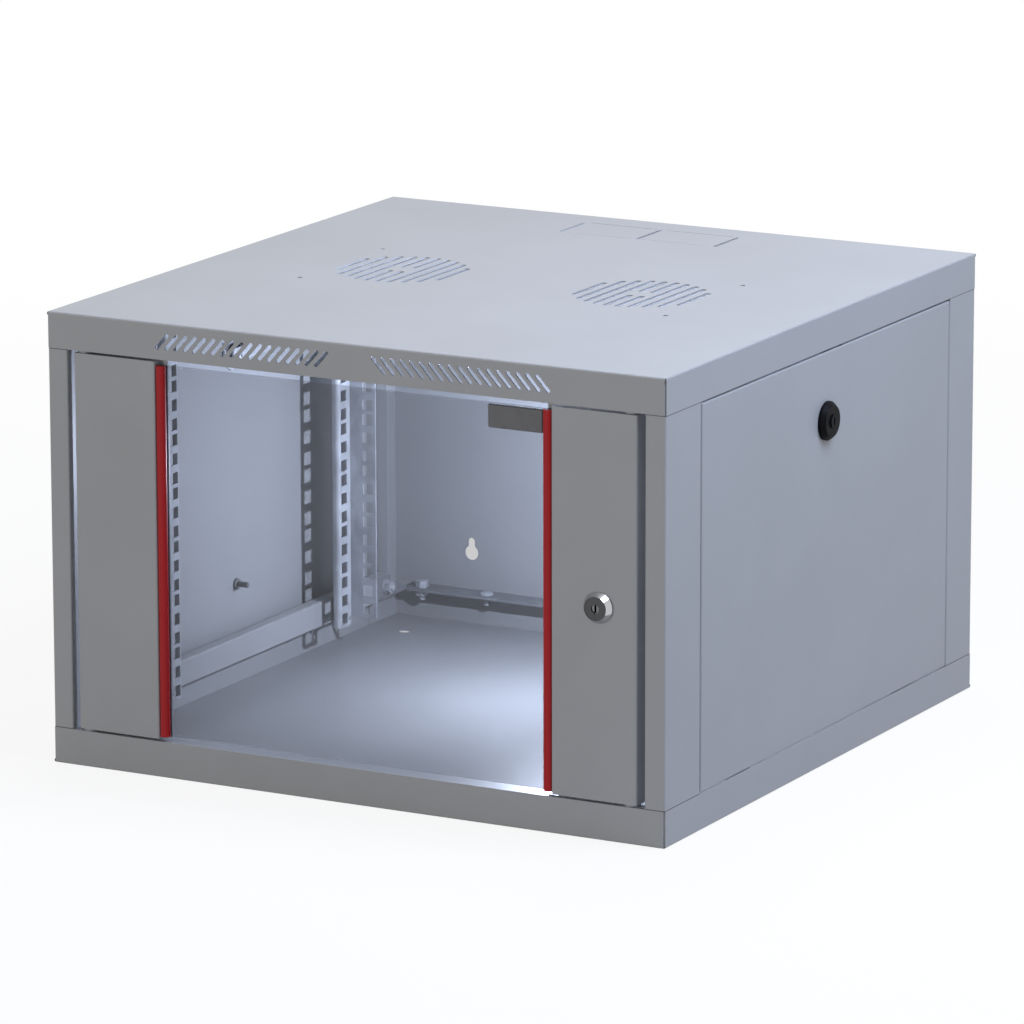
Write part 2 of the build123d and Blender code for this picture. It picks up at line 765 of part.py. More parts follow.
with BuildPart() as latch_screw_right:
    screw_seat = side_plane(hub_face - cam_sheet, mid_depth, latch_height, -1)
    add(button_screw(screw_seat, m4_radius, m4_head_radius, m4_head, m4_length))
with BuildPart() as latch_body_left:
    mirror(latch_body_right.part, about=Plane.YZ)
with BuildPart() as latch_nut_left:
    mirror(latch_nut_right.part, about=Plane.YZ)
with BuildPart() as latch_plug_left:
    mirror(latch_plug_right.part, about=Plane.YZ)
with BuildPart() as latch_cam_left:
    mirror(latch_cam_right.part, about=Plane.YZ)
with BuildPart() as latch_screw_left:
    mirror(latch_screw_right.part, about=Plane.YZ)

# Door stiles: folded channels with a ledge for the glass and closed ends
ledge_face = front + glass_front + glass_thickness + tape_thickness
with BuildPart() as door_stile_right:
    stile = [
        (stile_inner - glass_ledge, ledge_face),
        (stile_inner, ledge_face),
        (stile_inner, front),
        (door_half, front),
        (door_half, front + stile_depth),
        (door_half - stile_back_return, front + stile_depth),
    ]
    add(folded(stile, sheet, door_bottom, door_top, Side.LEFT, bend))
    for low in (door_bottom, door_top - sheet):
        end_x = (stile_inner + sheet, door_half - sheet)
        add(block(end_x, (front + sheet, front + stile_depth - sheet), (low, low + sheet)))
        with BuildSketch(Plane.XY.offset(low)):
            with Locations((-hinge_x, hinge_y)):
                Circle(pin_bore)
        extrude(amount=sheet, mode=Mode.SUBTRACT)
with BuildPart() as door_stile_left:
    mirror(door_stile_right.part, about=Plane.YZ)

# Lock on the right-hand stile
lock_seat = Plane(origin=(lock_x, front, lock_height), x_dir=(1, 0, 0), z_dir=(0, -1, 0))
lock_bore = lock_plug_radius + pin_clearance
lock_face_low = lock_proud - lock_face_thickness
with door_stile_right:
    add(rod(lock_seat, lock_barrel_radius + hole_clearance, -2 * sheet, 0), mode=Mode.SUBTRACT)
with BuildPart() as lock_body:
    outline = [(lock_bore, -lock_barrel_depth), (lock_barrel_radius, -lock_barrel_depth)]
    outline += [(lock_barrel_radius, 0), (lock_bezel_radius, 0), (lock_bezel_radius, lock_rim)]
    outline += [(lock_face_radius + lock_crest, lock_proud), (lock_face_radius, lock_proud)]
    outline += [(lock_face_radius, lock_face_low), (lock_bore, lock_face_low)]
    add(turned(outline, lock_seat))
with BuildPart() as lock_face:
    with BuildSketch(lock_seat.offset(lock_face_low)):
        Circle(lock_face_radius - pin_clearance)
        Circle(lock_opening_radius, mode=Mode.SUBTRACT)
        with Locations((0, -lock_opening_radius)):
            Rectangle(key_slot, key_slot, mode=Mode.SUBTRACT)
    extrude(amount=lock_face_thickness - hole_clearance)
with BuildPart() as lock_nut_ring:
    lock_thread = lock_barrel_radius + thread_clearance
    add(hex_piece(lock_seat, lock_nut_flats, -sheet - lock_nut, -sheet, lock_thread))
lock_plug_low = -lock_barrel_depth - lock_plug_tail
with BuildPart() as lock_plug:
    add(rod(lock_seat, lock_plug_radius, lock_plug_low, lock_face_low - hole_clearance))
    with BuildSketch(lock_seat.offset(lock_face_low)):
        Rectangle(key_slot, key_slot_width)
    extrude(amount=-key_slot_deep, mode=Mode.SUBTRACT)
    add(rod(lock_seat, m4_tapped, lock_plug_low, lock_plug_low + m4_length), mode=Mode.SUBTRACT)
with BuildPart() as lock_cam:
    with BuildSketch(lock_seat.offset(lock_plug_low - cam_sheet)):
        Circle(cam_hub_radius)
        with Locations((0, -lock_cam_reach / 2)):
            SlotOverall(lock_cam_reach + cam_width / 2, cam_width, rotation=90)
        Circle(m4_hole, mode=Mode.SUBTRACT)
    extrude(amount=cam_sheet)
with BuildPart() as lock_screw:
    screw_seat = Plane(
        origin=(lock_x, front - lock_plug_low + cam_sheet, lock_height),
        x_dir=(1, 0, 0),
        z_dir=(0, 1, 0),
    )
    add(button_screw(screw_seat, m4_radius, m4_head_radius, m4_head, m4_length))

# Glass with its tapes, the two coloured trims and the plain badge plate
glass_z = (door_bottom + glass_bottom_inset, door_top - glass_top_inset)
glass_half = stile_inner - glass_clearance
glass_y = (front + glass_front, front + glass_front + glass_thickness)
with BuildPart() as door_glass:
    add(block((-glass_half, glass_half), glass_y, glass_z))
    fillet(door_glass.edges().filter_by(Axis.X), radius=glass_arris)
with BuildPart() as door_tapes:
    tape_x = (stile_inner - glass_ledge, stile_inner - bend)
    add(block(tape_x, (glass_y[1], glass_y[1] + tape_thickness), glass_z))
    mirror(about=Plane.YZ)
with BuildPart() as door_trim_right:
    add(block((stile_inner - trim_width, stile_inner), (front, glass_y[0]), glass_z))
    fillet(door_trim_right.faces().sort_by(Axis.Y)[0].edges().filter_by(Axis.Z), radius=trim_radius)
with BuildPart() as door_trim_left:
    mirror(door_trim_right.part, about=Plane.YZ)
with BuildPart() as badge_plate:
    with BuildSketch(Plane.XZ.offset(-glass_y[0])):
        badge_x = stile_inner - trim_width - badge_gap - badge_length / 2
        with Locations((badge_x, glass_z[1] - badge_drop)):
            RectangleRounded(badge_length, badge_height, badge_corner)
    extrude(amount=badge_thickness)
    chamfer(badge_plate.faces().sort_by(Axis.Y)[0].edges(), length=badge_bevel)

# Hinge pins on the left-hand stile: a fixed one below, a sprung one above
lower_seat = Plane(origin=(hinge_x, hinge_y, door_bottom))
upper_seat = Plane(origin=(hinge_x, hinge_y, door_top))
collar_top = -sheet - hole_clearance
with BuildPart() as hinge_pin_lower:
    add(rod(lower_seat, pin_radius, -pin_engagement, sheet + pin_collar))
    add(rod(lower_seat, pin_collar_radius, sheet, sheet + pin_collar))
with BuildPart() as hinge_pin_upper:
    add(rod(upper_seat, pin_radius, -pin_bracket_drop - pin_tail, pin_engagement))
    add(rod(upper_seat, pin_collar_radius, collar_top - pin_collar, collar_top))
with BuildPart() as hinge_pin_bracket:
    bracket_x = (-door_half + sheet, hinge_x + pin_collar_radius)
    bracket_y = (front + bend, front + stile_depth - bend)
    bracket_z = (door_top - pin_bracket_drop - sheet, door_top - pin_bracket_drop)
    add(block(bracket_x, bracket_y, bracket_z))
    pin_hole = pin_radius + hole_clearance
    add(rod(upper_seat, pin_hole, -pin_bracket_drop - sheet, -pin_bracket_drop), mode=Mode.SUBTRACT)
with BuildPart() as hinge_spring:
    add(rod(upper_seat, spring_radius, -pin_bracket_drop, collar_top - pin_collar))
    add(rod(upper_seat, spring_bore, -pin_bracket_drop, collar_top - pin_collar), mode=Mode.SUBTRACT)

pieces = {
    "top_cover": top_cover,
    "bottom_tray": bottom_tray,
    "back_wall": back_wall,
    "front_post_left": front_post_left,
    "front_post_right": front_post_right,
    "carrier_lower_left": carrier_lower_left,
    "carrier_lower_right": carrier_lower_right,
    "carrier_upper_left": carrier_upper_left,
    "carrier_upper_right": carrier_upper_right,
    "rail_front_left": rail_front_left,
    "rail_front_right": rail_front_right,
    "rail_rear_left": rail_rear_left,
    "rail_rear_right": rail_rear_right,
    "crossbar_lower": crossbar_lower,
    "crossbar_upper": crossbar_upper,
    "crossbar_bolts": crossbar_bolts,
    "crossbar_washers": crossbar_washers,
    "crossbar_nuts": crossbar_nuts,
    "carrier_screws": carrier_screws,
    "rail_screws": rail_screws,
    "earth_bolt": earth_bolt,
    "earth_bolt_nut": earth_bolt_nut,
    "cable_clamp_screw": cable_clamp_screw,
    "hinge_bushes": hinge_bushes,
    "side_panel_left": side_panel_left,
    "side_panel_right": side_panel_right,
    "earth_stud_left": earth_stud_left,
    "earth_stud_right": earth_stud_right,
    "latch_body_left": latch_body_left,
    "latch_body_right": latch_body_right,
    "latch_nut_left": latch_nut_left,
    "latch_nut_right": latch_nut_right,
    "latch_plug_left": latch_plug_left,
    "latch_plug_right": latch_plug_right,
    "latch_cam_left": latch_cam_left,
    "latch_cam_right": latch_cam_right,
    "latch_screw_left": latch_screw_left,
    "latch_screw_right": latch_screw_right,
    "door_stile_left": door_stile_left,
    "door_stile_right": door_stile_right,
    "door_glass": door_glass,
    "door_tapes": door_tapes,
    "door_trim_left": door_trim_left,
    "door_trim_right": door_trim_right,
    "badge_plate": badge_plate,
    "lock_body": lock_body,
    "lock_face": lock_face,
    "lock_nut_ring": lock_nut_ring,
    "lock_plug": lock_plug,
    "lock_cam": lock_cam,
    "lock_screw": lock_screw,
    "hinge_pin_lower": hinge_pin_lower,
    "hinge_pin_upper": hinge_pin_upper,
    "hinge_pin_bracket": hinge_pin_bracket,
    "hinge_spring": hinge_spring,
}
for name, piece in pieces.items():
    save(piece, name)
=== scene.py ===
"""Looks of a wall mount network cabinet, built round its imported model.

Metres throughout. +X is the right-hand side seen from the front, +Y points to
the wall and +Z is up. The glass door is on the -Y side.
"""
import logging
import math
from dataclasses import dataclass
from enum import Enum
from typing import Any, Callable, ClassVar, Iterable, List, Mapping, Optional, Sequence, Tuple, Union

import bmesh
import bpy
from mathutils import Matrix, Vector


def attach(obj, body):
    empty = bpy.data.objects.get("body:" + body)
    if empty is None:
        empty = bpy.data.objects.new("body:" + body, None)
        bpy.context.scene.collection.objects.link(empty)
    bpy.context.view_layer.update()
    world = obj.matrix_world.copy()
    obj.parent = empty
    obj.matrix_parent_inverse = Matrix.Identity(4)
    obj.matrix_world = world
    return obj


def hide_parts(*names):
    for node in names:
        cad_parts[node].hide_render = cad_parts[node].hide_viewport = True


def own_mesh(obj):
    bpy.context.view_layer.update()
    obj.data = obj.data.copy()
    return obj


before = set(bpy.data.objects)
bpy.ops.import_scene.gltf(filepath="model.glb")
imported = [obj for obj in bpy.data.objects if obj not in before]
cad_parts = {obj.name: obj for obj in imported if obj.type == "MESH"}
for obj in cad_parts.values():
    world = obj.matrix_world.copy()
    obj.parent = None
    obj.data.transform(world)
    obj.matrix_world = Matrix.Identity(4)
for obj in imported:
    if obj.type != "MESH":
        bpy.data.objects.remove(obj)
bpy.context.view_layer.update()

LOG = logging.getLogger("cabinet")

Colour = Tuple[float, float, float]
Point = Tuple[float, float, float]
Row = Tuple[float, float]
Number = Union[int, float]
Ripple = Callable[[float, float], float]
Ring = List[bmesh.types.BMVert]

WHITE = (1.0, 1.0, 1.0, 1.0)


class Hand(Enum):
    """The side of the cabinet that a piece is on, seen from the front."""

    LEFT = -1
    RIGHT = 1

    @property
    def word(self) -> str:
        """The side's word in the pieces' names."""
        return self.name.lower()

    @property
    def inward(self) -> "Facing":
        """The way into the cabinet from this side."""
        return Facing.RIGHT if self is Hand.LEFT else Facing.LEFT

    @property
    def outward(self) -> "Facing":
        """The way out of the cabinet on this side."""
        return Facing.LEFT if self is Hand.LEFT else Facing.RIGHT


class Drive(Enum):
    """The recess in a screw's head."""

    CROSS = "cross"
    PLAIN = "plain"


class Facing(Enum):
    """The way a fastener's head faces."""

    LEFT = (-1.0, 0.0, 0.0)
    RIGHT = (1.0, 0.0, 0.0)
    FRONT = (0.0, -1.0, 0.0)
    WALL = (0.0, 1.0, 0.0)
    UP = (0.0, 0.0, 1.0)


# Shader maths


class Signal:
    """A socket's value, on which shader maths is written as plain expressions."""

    def __init__(self, graph: "ShaderGraph", socket: bpy.types.NodeSocket) -> None:
        """Keep the graph that the value belongs to and its socket."""
        self.graph = graph
        self.socket = socket

    def _math(self, operation: str, *operands: Union["Signal", Number]) -> "Signal":
        """Add a Math node.

        Args:
            operation: The Math node's operation.
            operands: The values of its inputs, in order.

        Returns:
            The node's result.
        """
        node = self.graph.node(
            "ShaderNodeMath", {"operation": operation}, dict(enumerate(operands))
        )
        return Signal(self.graph, node.outputs[0])

    def __add__(self, other: Union["Signal", Number]) -> "Signal":
        """Return self + other."""
        return self._math("ADD", self, other)

    def __radd__(self, other: Number) -> "Signal":
        """Return other + self."""
        return self._math("ADD", other, self)

    def __sub__(self, other: Union["Signal", Number]) -> "Signal":
        """Return self - other."""
        return self._math("SUBTRACT", self, other)

    def __rsub__(self, other: Number) -> "Signal":
        """Return other - self."""
        return self._math("SUBTRACT", other, self)

    def __mul__(self, other: Union["Signal", Number]) -> "Signal":
        """Return self * other."""
        return self._math("MULTIPLY", self, other)

    def __rmul__(self, other: Number) -> "Signal":
        """Return other * self."""
        return self._math("MULTIPLY", other, self)

    def larger(self, other: Union["Signal", Number]) -> "Signal":
        """Return the larger of self and other."""
        return self._math("MAXIMUM", self, other)

    def step(self, low: float, high: float) -> "Signal":
        """Rise smoothly from 0 at low to 1 at high.

        Args:
            low: The value below which the result is 0.
            high: The value above which the result is 1.

        Returns:
            The smoothed step.
        """
        node = self.graph.node(
            "ShaderNodeMapRange",
            {"interpolation_type": "SMOOTHSTEP"},
            {"Value": self, "From Min": low, "From Max": high},
        )
        return Signal(self.graph, node.outputs["Result"])


class ShaderGraph:
    """The node tree of one material, with the method that adds its nodes."""

    def __init__(self, name: str) -> None:
        """Start an empty material of that name."""
        self.material = bpy.data.materials.new(name)
        self.material.use_nodes = True
        self.tree = self.material.node_tree
        self.tree.nodes.clear()

    def node(
        self,
        kind: str,
        settings: Optional[Mapping[str, Any]] = None,
        inputs: Optional[Mapping[Union[str, int], Any]] = None,
    ) -> bpy.types.Node:
        """Add one node.

        Args:
            kind: The node's type.
            settings: Properties of the node, set first.
            inputs: The value, or the signal to link, of each named or numbered socket.

        Returns:
            The new node.
        """
        node = self.tree.nodes.new(kind)
        for key, value in (settings or {}).items():
            setattr(node, key, value)
        for key, value in (inputs or {}).items():
            socket = node.inputs[key]
            if isinstance(value, Signal):
                self.tree.links.new(value.socket, socket)
            elif isinstance(value, bpy.types.NodeSocket):
                self.tree.links.new(value, socket)
            else:
                socket.default_value = value
        return node

    def place(self, stretch: Point = (1.0, 1.0, 1.0)) -> Signal:
        """Return the point on the piece, scaled on each axis.

        Args:
            stretch: The scale of each axis. A small one draws a pattern out along it.

        Returns:
            The scaled coordinates.
        """
        coordinates = self.node("ShaderNodeTexCoord")
        scaled = self.node(
            "ShaderNodeVectorMath",
            {"operation": "MULTIPLY"},
            {0: coordinates.outputs["Object"], 1: stretch},
        )
        return Signal(self, scaled.outputs[0])

    def reach(self, centre: Point) -> Tuple[Signal, Signal, Signal]:
        """Return the distance from a centre along each axis, without its sign.

        Args:
            centre: The point measured from.

        Returns:
            The distances along X, Y and Z.
        """
        moved = self.node(
            "ShaderNodeVectorMath", {"operation": "SUBTRACT"}, {0: self.place(), 1: centre}
        )
        plain = self.node("ShaderNodeVectorMath", {"operation": "ABSOLUTE"}, {0: moved.outputs[0]})
        split = self.node("ShaderNodeSeparateXYZ", None, {0: plain.outputs[0]})
        return tuple(Signal(self, socket) for socket in split.outputs)

    def noise(self, place: Signal, scale: float, detail: float = 2.0, rough: float = 0.5) -> Signal:
        """Return smooth noise.

        Args:
            place: The coordinates.
            scale: Waves per metre.
            detail: Octaves added.
            rough: Strength of each further octave.

        Returns:
            Values about 0.5.
        """
        node = self.node(
            "ShaderNodeTexNoise",
            None,
            {"Vector": place, "Scale": scale, "Detail": detail, "Roughness": rough},
        )
        return Signal(self, node.outputs[0])

    def crystals(self, place: Signal, scale: float) -> Signal:
        """Return one random level for each crystal of a zinc coat.

        Args:
            place: The coordinates.
            scale: Crystals per metre.

        Returns:
            Values from 0 to 1.
        """
        node = self.node(
            "ShaderNodeTexVoronoi", {"feature": "F1"}, {"Vector": place, "Scale": scale}
        )
        split = self.node("ShaderNodeSeparateColor", None, {0: node.outputs["Color"]})
        return Signal(self, split.outputs[0])

    def blend(self, factor: Signal, first: Union[Signal, Colour], second: Union[Signal, Colour]) -> Signal:
        """Mix two colours.

        Args:
            factor: The share of the second one.
            first: The colour at 0.
            second: The colour at 1.

        Returns:
            The mixed colour.
        """
        first, second = (c if isinstance(c, Signal) else (*c, 1.0) for c in (first, second))
        node = self.node("ShaderNodeMix", {"data_type": "RGBA"}, {0: factor, 6: first, 7: second})
        return Signal(self, node.outputs[2])

    def bump(self, height: Signal, strength: float, distance: float) -> Signal:
        """Turn a height into a bumped normal.

        Args:
            height: The height, 0 to 1.
            strength: Share of the bump that shows.
            distance: The height of 1, in metres.

        Returns:
            The normal.
        """
        node = self.node(
            "ShaderNodeBump", None, {"Strength": strength, "Distance": distance, "Height": height}
        )
        return Signal(self, node.outputs[0])

    def background_rays(self) -> Signal:
        """Mark the rays that show the background: seen, reflected or passed through.

        Returns:
            1 on these rays and 0 on the others.
        """
        path = self.node("ShaderNodeLightPath")
        seen, mirrored, passed = (
            Signal(self, path.outputs[f"Is {kind} Ray"]) for kind in ("Camera", "Glossy", "Transmission")
        )
        return seen.larger(mirrored).larger(passed)

    def principled(self, inputs: Mapping[str, Any]) -> bpy.types.Node:
        """Add a Principled shader with these inputs."""
        return self.node("ShaderNodeBsdfPrincipled", None, inputs)

    def mix(self, factor: Signal, first: bpy.types.Node, second: bpy.types.Node) -> bpy.types.Node:
        """Mix two shaders.

        Args:
            factor: The share of the second one.
            first: The shader at 0.
            second: The shader at 1.

        Returns:
            The mixed shader.
        """
        inputs = {0: factor, 1: first.outputs[0], 2: second.outputs[0]}
        return self.node("ShaderNodeMixShader", None, inputs)

    def finish(self, shader: bpy.types.Node) -> bpy.types.Material:
        """Join a shader to the material's output and return the material."""
        self.node("ShaderNodeOutputMaterial", None, {"Surface": shader.outputs[0]})
        return self.material


class SurroundGraph(ShaderGraph):
    """The node tree of the scene's surround."""

    def __init__(self, name: str) -> None:
        """Start an empty surround of that name."""
        self.world = bpy.data.worlds.new(name)
        self.world.use_nodes = True
        self.tree = self.world.node_tree
        self.tree.nodes.clear()

    def surround(self, shader: bpy.types.Node) -> bpy.types.World:
        """Join a shader to the surround's output and return the surround."""
        self.node("ShaderNodeOutputWorld", None, {"Surface": shader.outputs[0]})
        return self.world


# Finishes


class Joints(Enum):
    """Where painted shade darkens the gaps at the folded case's seams."""

    NONE = "none"
    ENDS = "ends"
    CORNERS = "corners"


def tinted(colour: Colour, share: float) -> Colour:
    """Return a colour made lighter or darker by a share of itself."""
    return tuple(min(1.0, share * c) for c in colour)


@dataclass(frozen=True)
class PowderCoat:
    """Satin powder coat: a fine orange peel, faint cloudiness and a soft sheen, with painted shade along the
    seams where asked.
    """

    name: str
    colour: Colour
    sheen: float = 0.43
    joints: Joints = Joints.NONE
    # The box that the painted seam shade is measured from, and the shade's reach, height, strength and
    # near-black colour.
    centre: Point = (0.0, 0.0, 0.185)
    half: Point = (0.2755, 0.28025, 0.1556)
    joint_reach: Row = (0.0012, 0.0008)
    joint_height: Row = (0.0010, 0.0005)
    joint_depth: float = 0.82
    joint_colour: Colour = (0.02, 0.02, 0.022)
    cloud_scale: float = 9.0
    peel_scale: float = 420.0
    grain_scale: float = 1700.0
    cloud: float = 0.035

    def _joint_lines(self, graph: ShaderGraph) -> Signal:
        """Mark the painted shade in the gaps where folded sheets meet, on the outside only.

        Args:
            graph: The material's node tree.

        Returns:
            1 where the gaps get painted shade and 0 elsewhere.
        """
        across, along, up = graph.reach(self.centre)
        inner, outer = self.joint_reach
        side = across.step(self.half[0] - inner, self.half[0] - outer)
        front = along.step(self.half[1] - inner, self.half[1] - outer)
        if self.joints is Joints.CORNERS:
            return side * front
        low, high = self.joint_height
        end = up.step(self.half[2] - low, self.half[2] - high)
        return end * side.larger(front)

    def build(self) -> bpy.types.Material:
        """Make the material.

        Returns:
            The powder coat.
        """
        graph = ShaderGraph(self.name)
        place = graph.place()
        cloud = graph.noise(place, self.cloud_scale, 3.0)
        peel = graph.noise(place, self.peel_scale, 2.0)
        grain = graph.noise(place, self.grain_scale, 1.0)
        dark, light = tinted(self.colour, 1.0 - self.cloud), tinted(self.colour, 1.0 + self.cloud)
        paint = graph.blend((0.8 * cloud + 0.2 * grain).step(0.3, 0.7), dark, light)
        if self.joints is not Joints.NONE:
            # Painted shade: a near-black line darkens the gaps where the sheets meet.
            paint = graph.blend(self.joint_depth * self._joint_lines(graph), paint, self.joint_colour)
        shader = graph.principled(
            {
                "Base Color": paint,
                "Roughness": self.sheen + 0.10 * (grain - 0.5) + 0.06 * (cloud - 0.5),
                "IOR": 1.46,
                "Normal": graph.bump(0.7 * peel + 0.3 * grain, 0.07, 0.00010),
            },
        )
        return graph.finish(shader)


@dataclass(frozen=True)
class ZincPlate:
    """Zinc plated steel: soft smudges over faint crystals, drawn along its length."""

    name: str
    colour: Colour
    gloss: float = 0.30
    cloud: float = 0.10
    drawn: Point = (1.0, 1.0, 0.5)
    bare: float = 0.12
    smudge_scale: float = 62.0
    crystal_scale: float = 95.0
    scratch_scale: float = 1500.0
    scratch_drawn: Point = (1.0, 1.0, 0.03)

    def build(self) -> bpy.types.Material:
        """Make the material.

        Returns:
            The zinc plate.
        """
        graph = ShaderGraph(self.name)
        smudge = graph.noise(graph.place(self.drawn), self.smudge_scale, 2.0, 0.5)
        crystal = graph.crystals(graph.place(), self.crystal_scale)
        scratch = graph.noise(graph.place(self.scratch_drawn), self.scratch_scale, 2.0)
        dark, light = tinted(self.colour, 1.0 - self.cloud), tinted(self.colour, 1.0 + self.cloud)
        tone = (0.90 * smudge + 0.10 * crystal).step(0.30, 0.62)
        shader = graph.principled(
            {
                "Base Color": graph.blend(tone, dark, light),
                "Metallic": self.bare,
                "Roughness": self.gloss + 0.22 * (smudge - 0.5) + 0.05 * scratch,
                "Normal": graph.bump(0.5 * smudge + 0.5 * scratch, 0.16, 0.0001),
            },
        )
        return graph.finish(shader)


@dataclass(frozen=True)
class BrightMetal:
    """Plated and polished metal: near mirror, with hairlines from handling.

    In front of the cap plane, where there is one, it is painted dark.
    """

    name: str
    colour: Colour
    gloss: float = 0.09
    cap: Optional[float] = None
    cap_colour: Colour = (0.036, 0.036, 0.040)
    cap_edge: float = 0.0001
    haze_scale: float = 260.0
    hairline_scale: float = 3800.0
    hairline_drawn: Point = (1.0, 0.08, 1.0)

    def build(self) -> bpy.types.Material:
        """Make the material.

        Returns:
            The bright metal.
        """
        graph = ShaderGraph(self.name)
        place = graph.place()
        haze = graph.noise(place, self.haze_scale, 3.0)
        hairline = graph.noise(graph.place(self.hairline_drawn), self.hairline_scale, 2.0)
        plate = graph.blend(haze.step(0.3, 0.7), tinted(self.colour, 0.94), self.colour)
        bare: Union[Signal, float] = 1.0
        if self.cap is not None:
            depth = Signal(graph, graph.node("ShaderNodeSeparateXYZ", None, {0: place}).outputs["Y"])
            bare = depth.step(self.cap - self.cap_edge, self.cap + self.cap_edge)
            plate = graph.blend(bare, self.cap_colour, plate)
        shader = graph.principled(
            {
                "Base Color": plate,
                "Metallic": bare,
                "Roughness": self.gloss + 0.06 * haze + 0.03 * hairline + 0.3 * (1.0 - bare),
                "Normal": graph.bump(hairline, 0.05, 0.00004),
            },
        )
        return graph.finish(shader)


@dataclass(frozen=True)
class MouldedPlastic:
    """Moulded plastic with a spark-eroded grain."""

    name: str
    colour: Colour
    gloss: float = 0.42
    grain: float = 2400.0
    depth: float = 0.30
    index: float = 1.49
    flow_scale: float = 55.0

    def build(self) -> bpy.types.Material:
        """Make the material.

        Returns:
            The plastic.
        """
        graph = ShaderGraph(self.name)
        place = graph.place()
        grain = graph.noise(place, self.grain, 2.0)
        flow = graph.noise(place, self.flow_scale, 2.0)
        paint = graph.blend(flow.step(0.3, 0.7), tinted(self.colour, 0.90), tinted(self.colour, 1.10))
        shader = graph.principled(
            {
                "Base Color": paint,
                "Roughness": self.gloss + 0.12 * (grain - 0.5) + 0.08 * (flow - 0.5),
                "IOR": self.index,
                "Normal": graph.bump(grain, self.depth, 0.00006),
            },
        )
        return graph.finish(shader)


@dataclass(frozen=True)
class ExtrudedProfile:
    """A glossy coloured plastic profile with draw lines along its length."""

    name: str
    colour: Colour
    line_scale: float = 900.0
    line_drawn: Point = (1.0, 1.0, 0.015)
    flow_scale: float = 40.0
    flow_drawn: Point = (1.0, 1.0, 0.2)

    def build(self) -> bpy.types.Material:
        """Make the material.

        Returns:
            The coloured profile.
        """
        graph = ShaderGraph(self.name)
        line = graph.noise(graph.place(self.line_drawn), self.line_scale, 2.0)
        flow = graph.noise(graph.place(self.flow_drawn), self.flow_scale, 2.0)
        streak = (0.5 * flow + 0.5 * line).step(0.25, 0.75)
        shader = graph.principled(
            {
                "Base Color": graph.blend(streak, tinted(self.colour, 0.86), self.colour),
                "Roughness": 0.33 + 0.12 * (line - 0.5),
                "IOR": 1.32,
                "Normal": graph.bump(line, 0.12, 0.00005),
            },
        )
        return graph.finish(shader)


@dataclass(frozen=True)
class FoamTape:
    """Closed-cell foam tape, matt and finely pitted."""

    name: str
    colour: Colour
    cell_scale: float = 2600.0
    lump_scale: float = 320.0

    def build(self) -> bpy.types.Material:
        """Make the material.

        Returns:
            The foam.
        """
        graph = ShaderGraph(self.name)
        cell = graph.noise(graph.place(), self.cell_scale, 1.0)
        lump = graph.noise(graph.place(), self.lump_scale, 2.0)
        shader = graph.principled(
            {
                "Base Color": graph.blend(cell.step(0.35, 0.7), self.colour, tinted(self.colour, 1.3)),
                "Roughness": 0.80 + 0.15 * lump,
                "Normal": graph.bump(cell, 0.6, 0.0001),
            },
        )
        return graph.finish(shader)


@dataclass(frozen=True)
class ClearGlass:
    """Clear tempered glass: a faint cool veil, and a mirror sheen at low angles."""

    name: str
    veil: Colour
    density: float
    index: float = 1.52
    mirror_share: float = 0.20
    mirror_colour: Colour = (0.95, 0.97, 1.0)
    wave_scale: float = 7.0

    def build(self) -> bpy.types.Material:
        """Make the material.

        Returns:
            The glass.
        """
        graph = ShaderGraph(self.name)
        wave = graph.noise(graph.place(), self.wave_scale, 1.0)
        body = graph.principled(
            {
                "Base Color": graph.blend(wave, self.veil, tinted(self.veil, 1.08)),
                "Roughness": 0.03 + 0.02 * wave,
                "Alpha": self.density,
                "IOR": self.index,
            },
        )
        mirror = (*self.mirror_colour, 1.0)
        sheen = graph.principled({"Base Color": mirror, "Metallic": 1.0, "Roughness": 0.02})
        edge = graph.node("ShaderNodeFresnel", None, {"IOR": self.index})
        share = self.mirror_share * Signal(graph, edge.outputs[0])
        return graph.finish(graph.mix(share, body, sheen))


BODY_GREY = (0.350, 0.353, 0.360)
EVEN = (1.0, 1.0, 1.0)


class Slot(Enum):
    """The record's material slots that the made pieces take their finish from."""

    ZINC = "fastener_zinc"
    STUD = "stud_copper"
    PIN = "pin_steel"


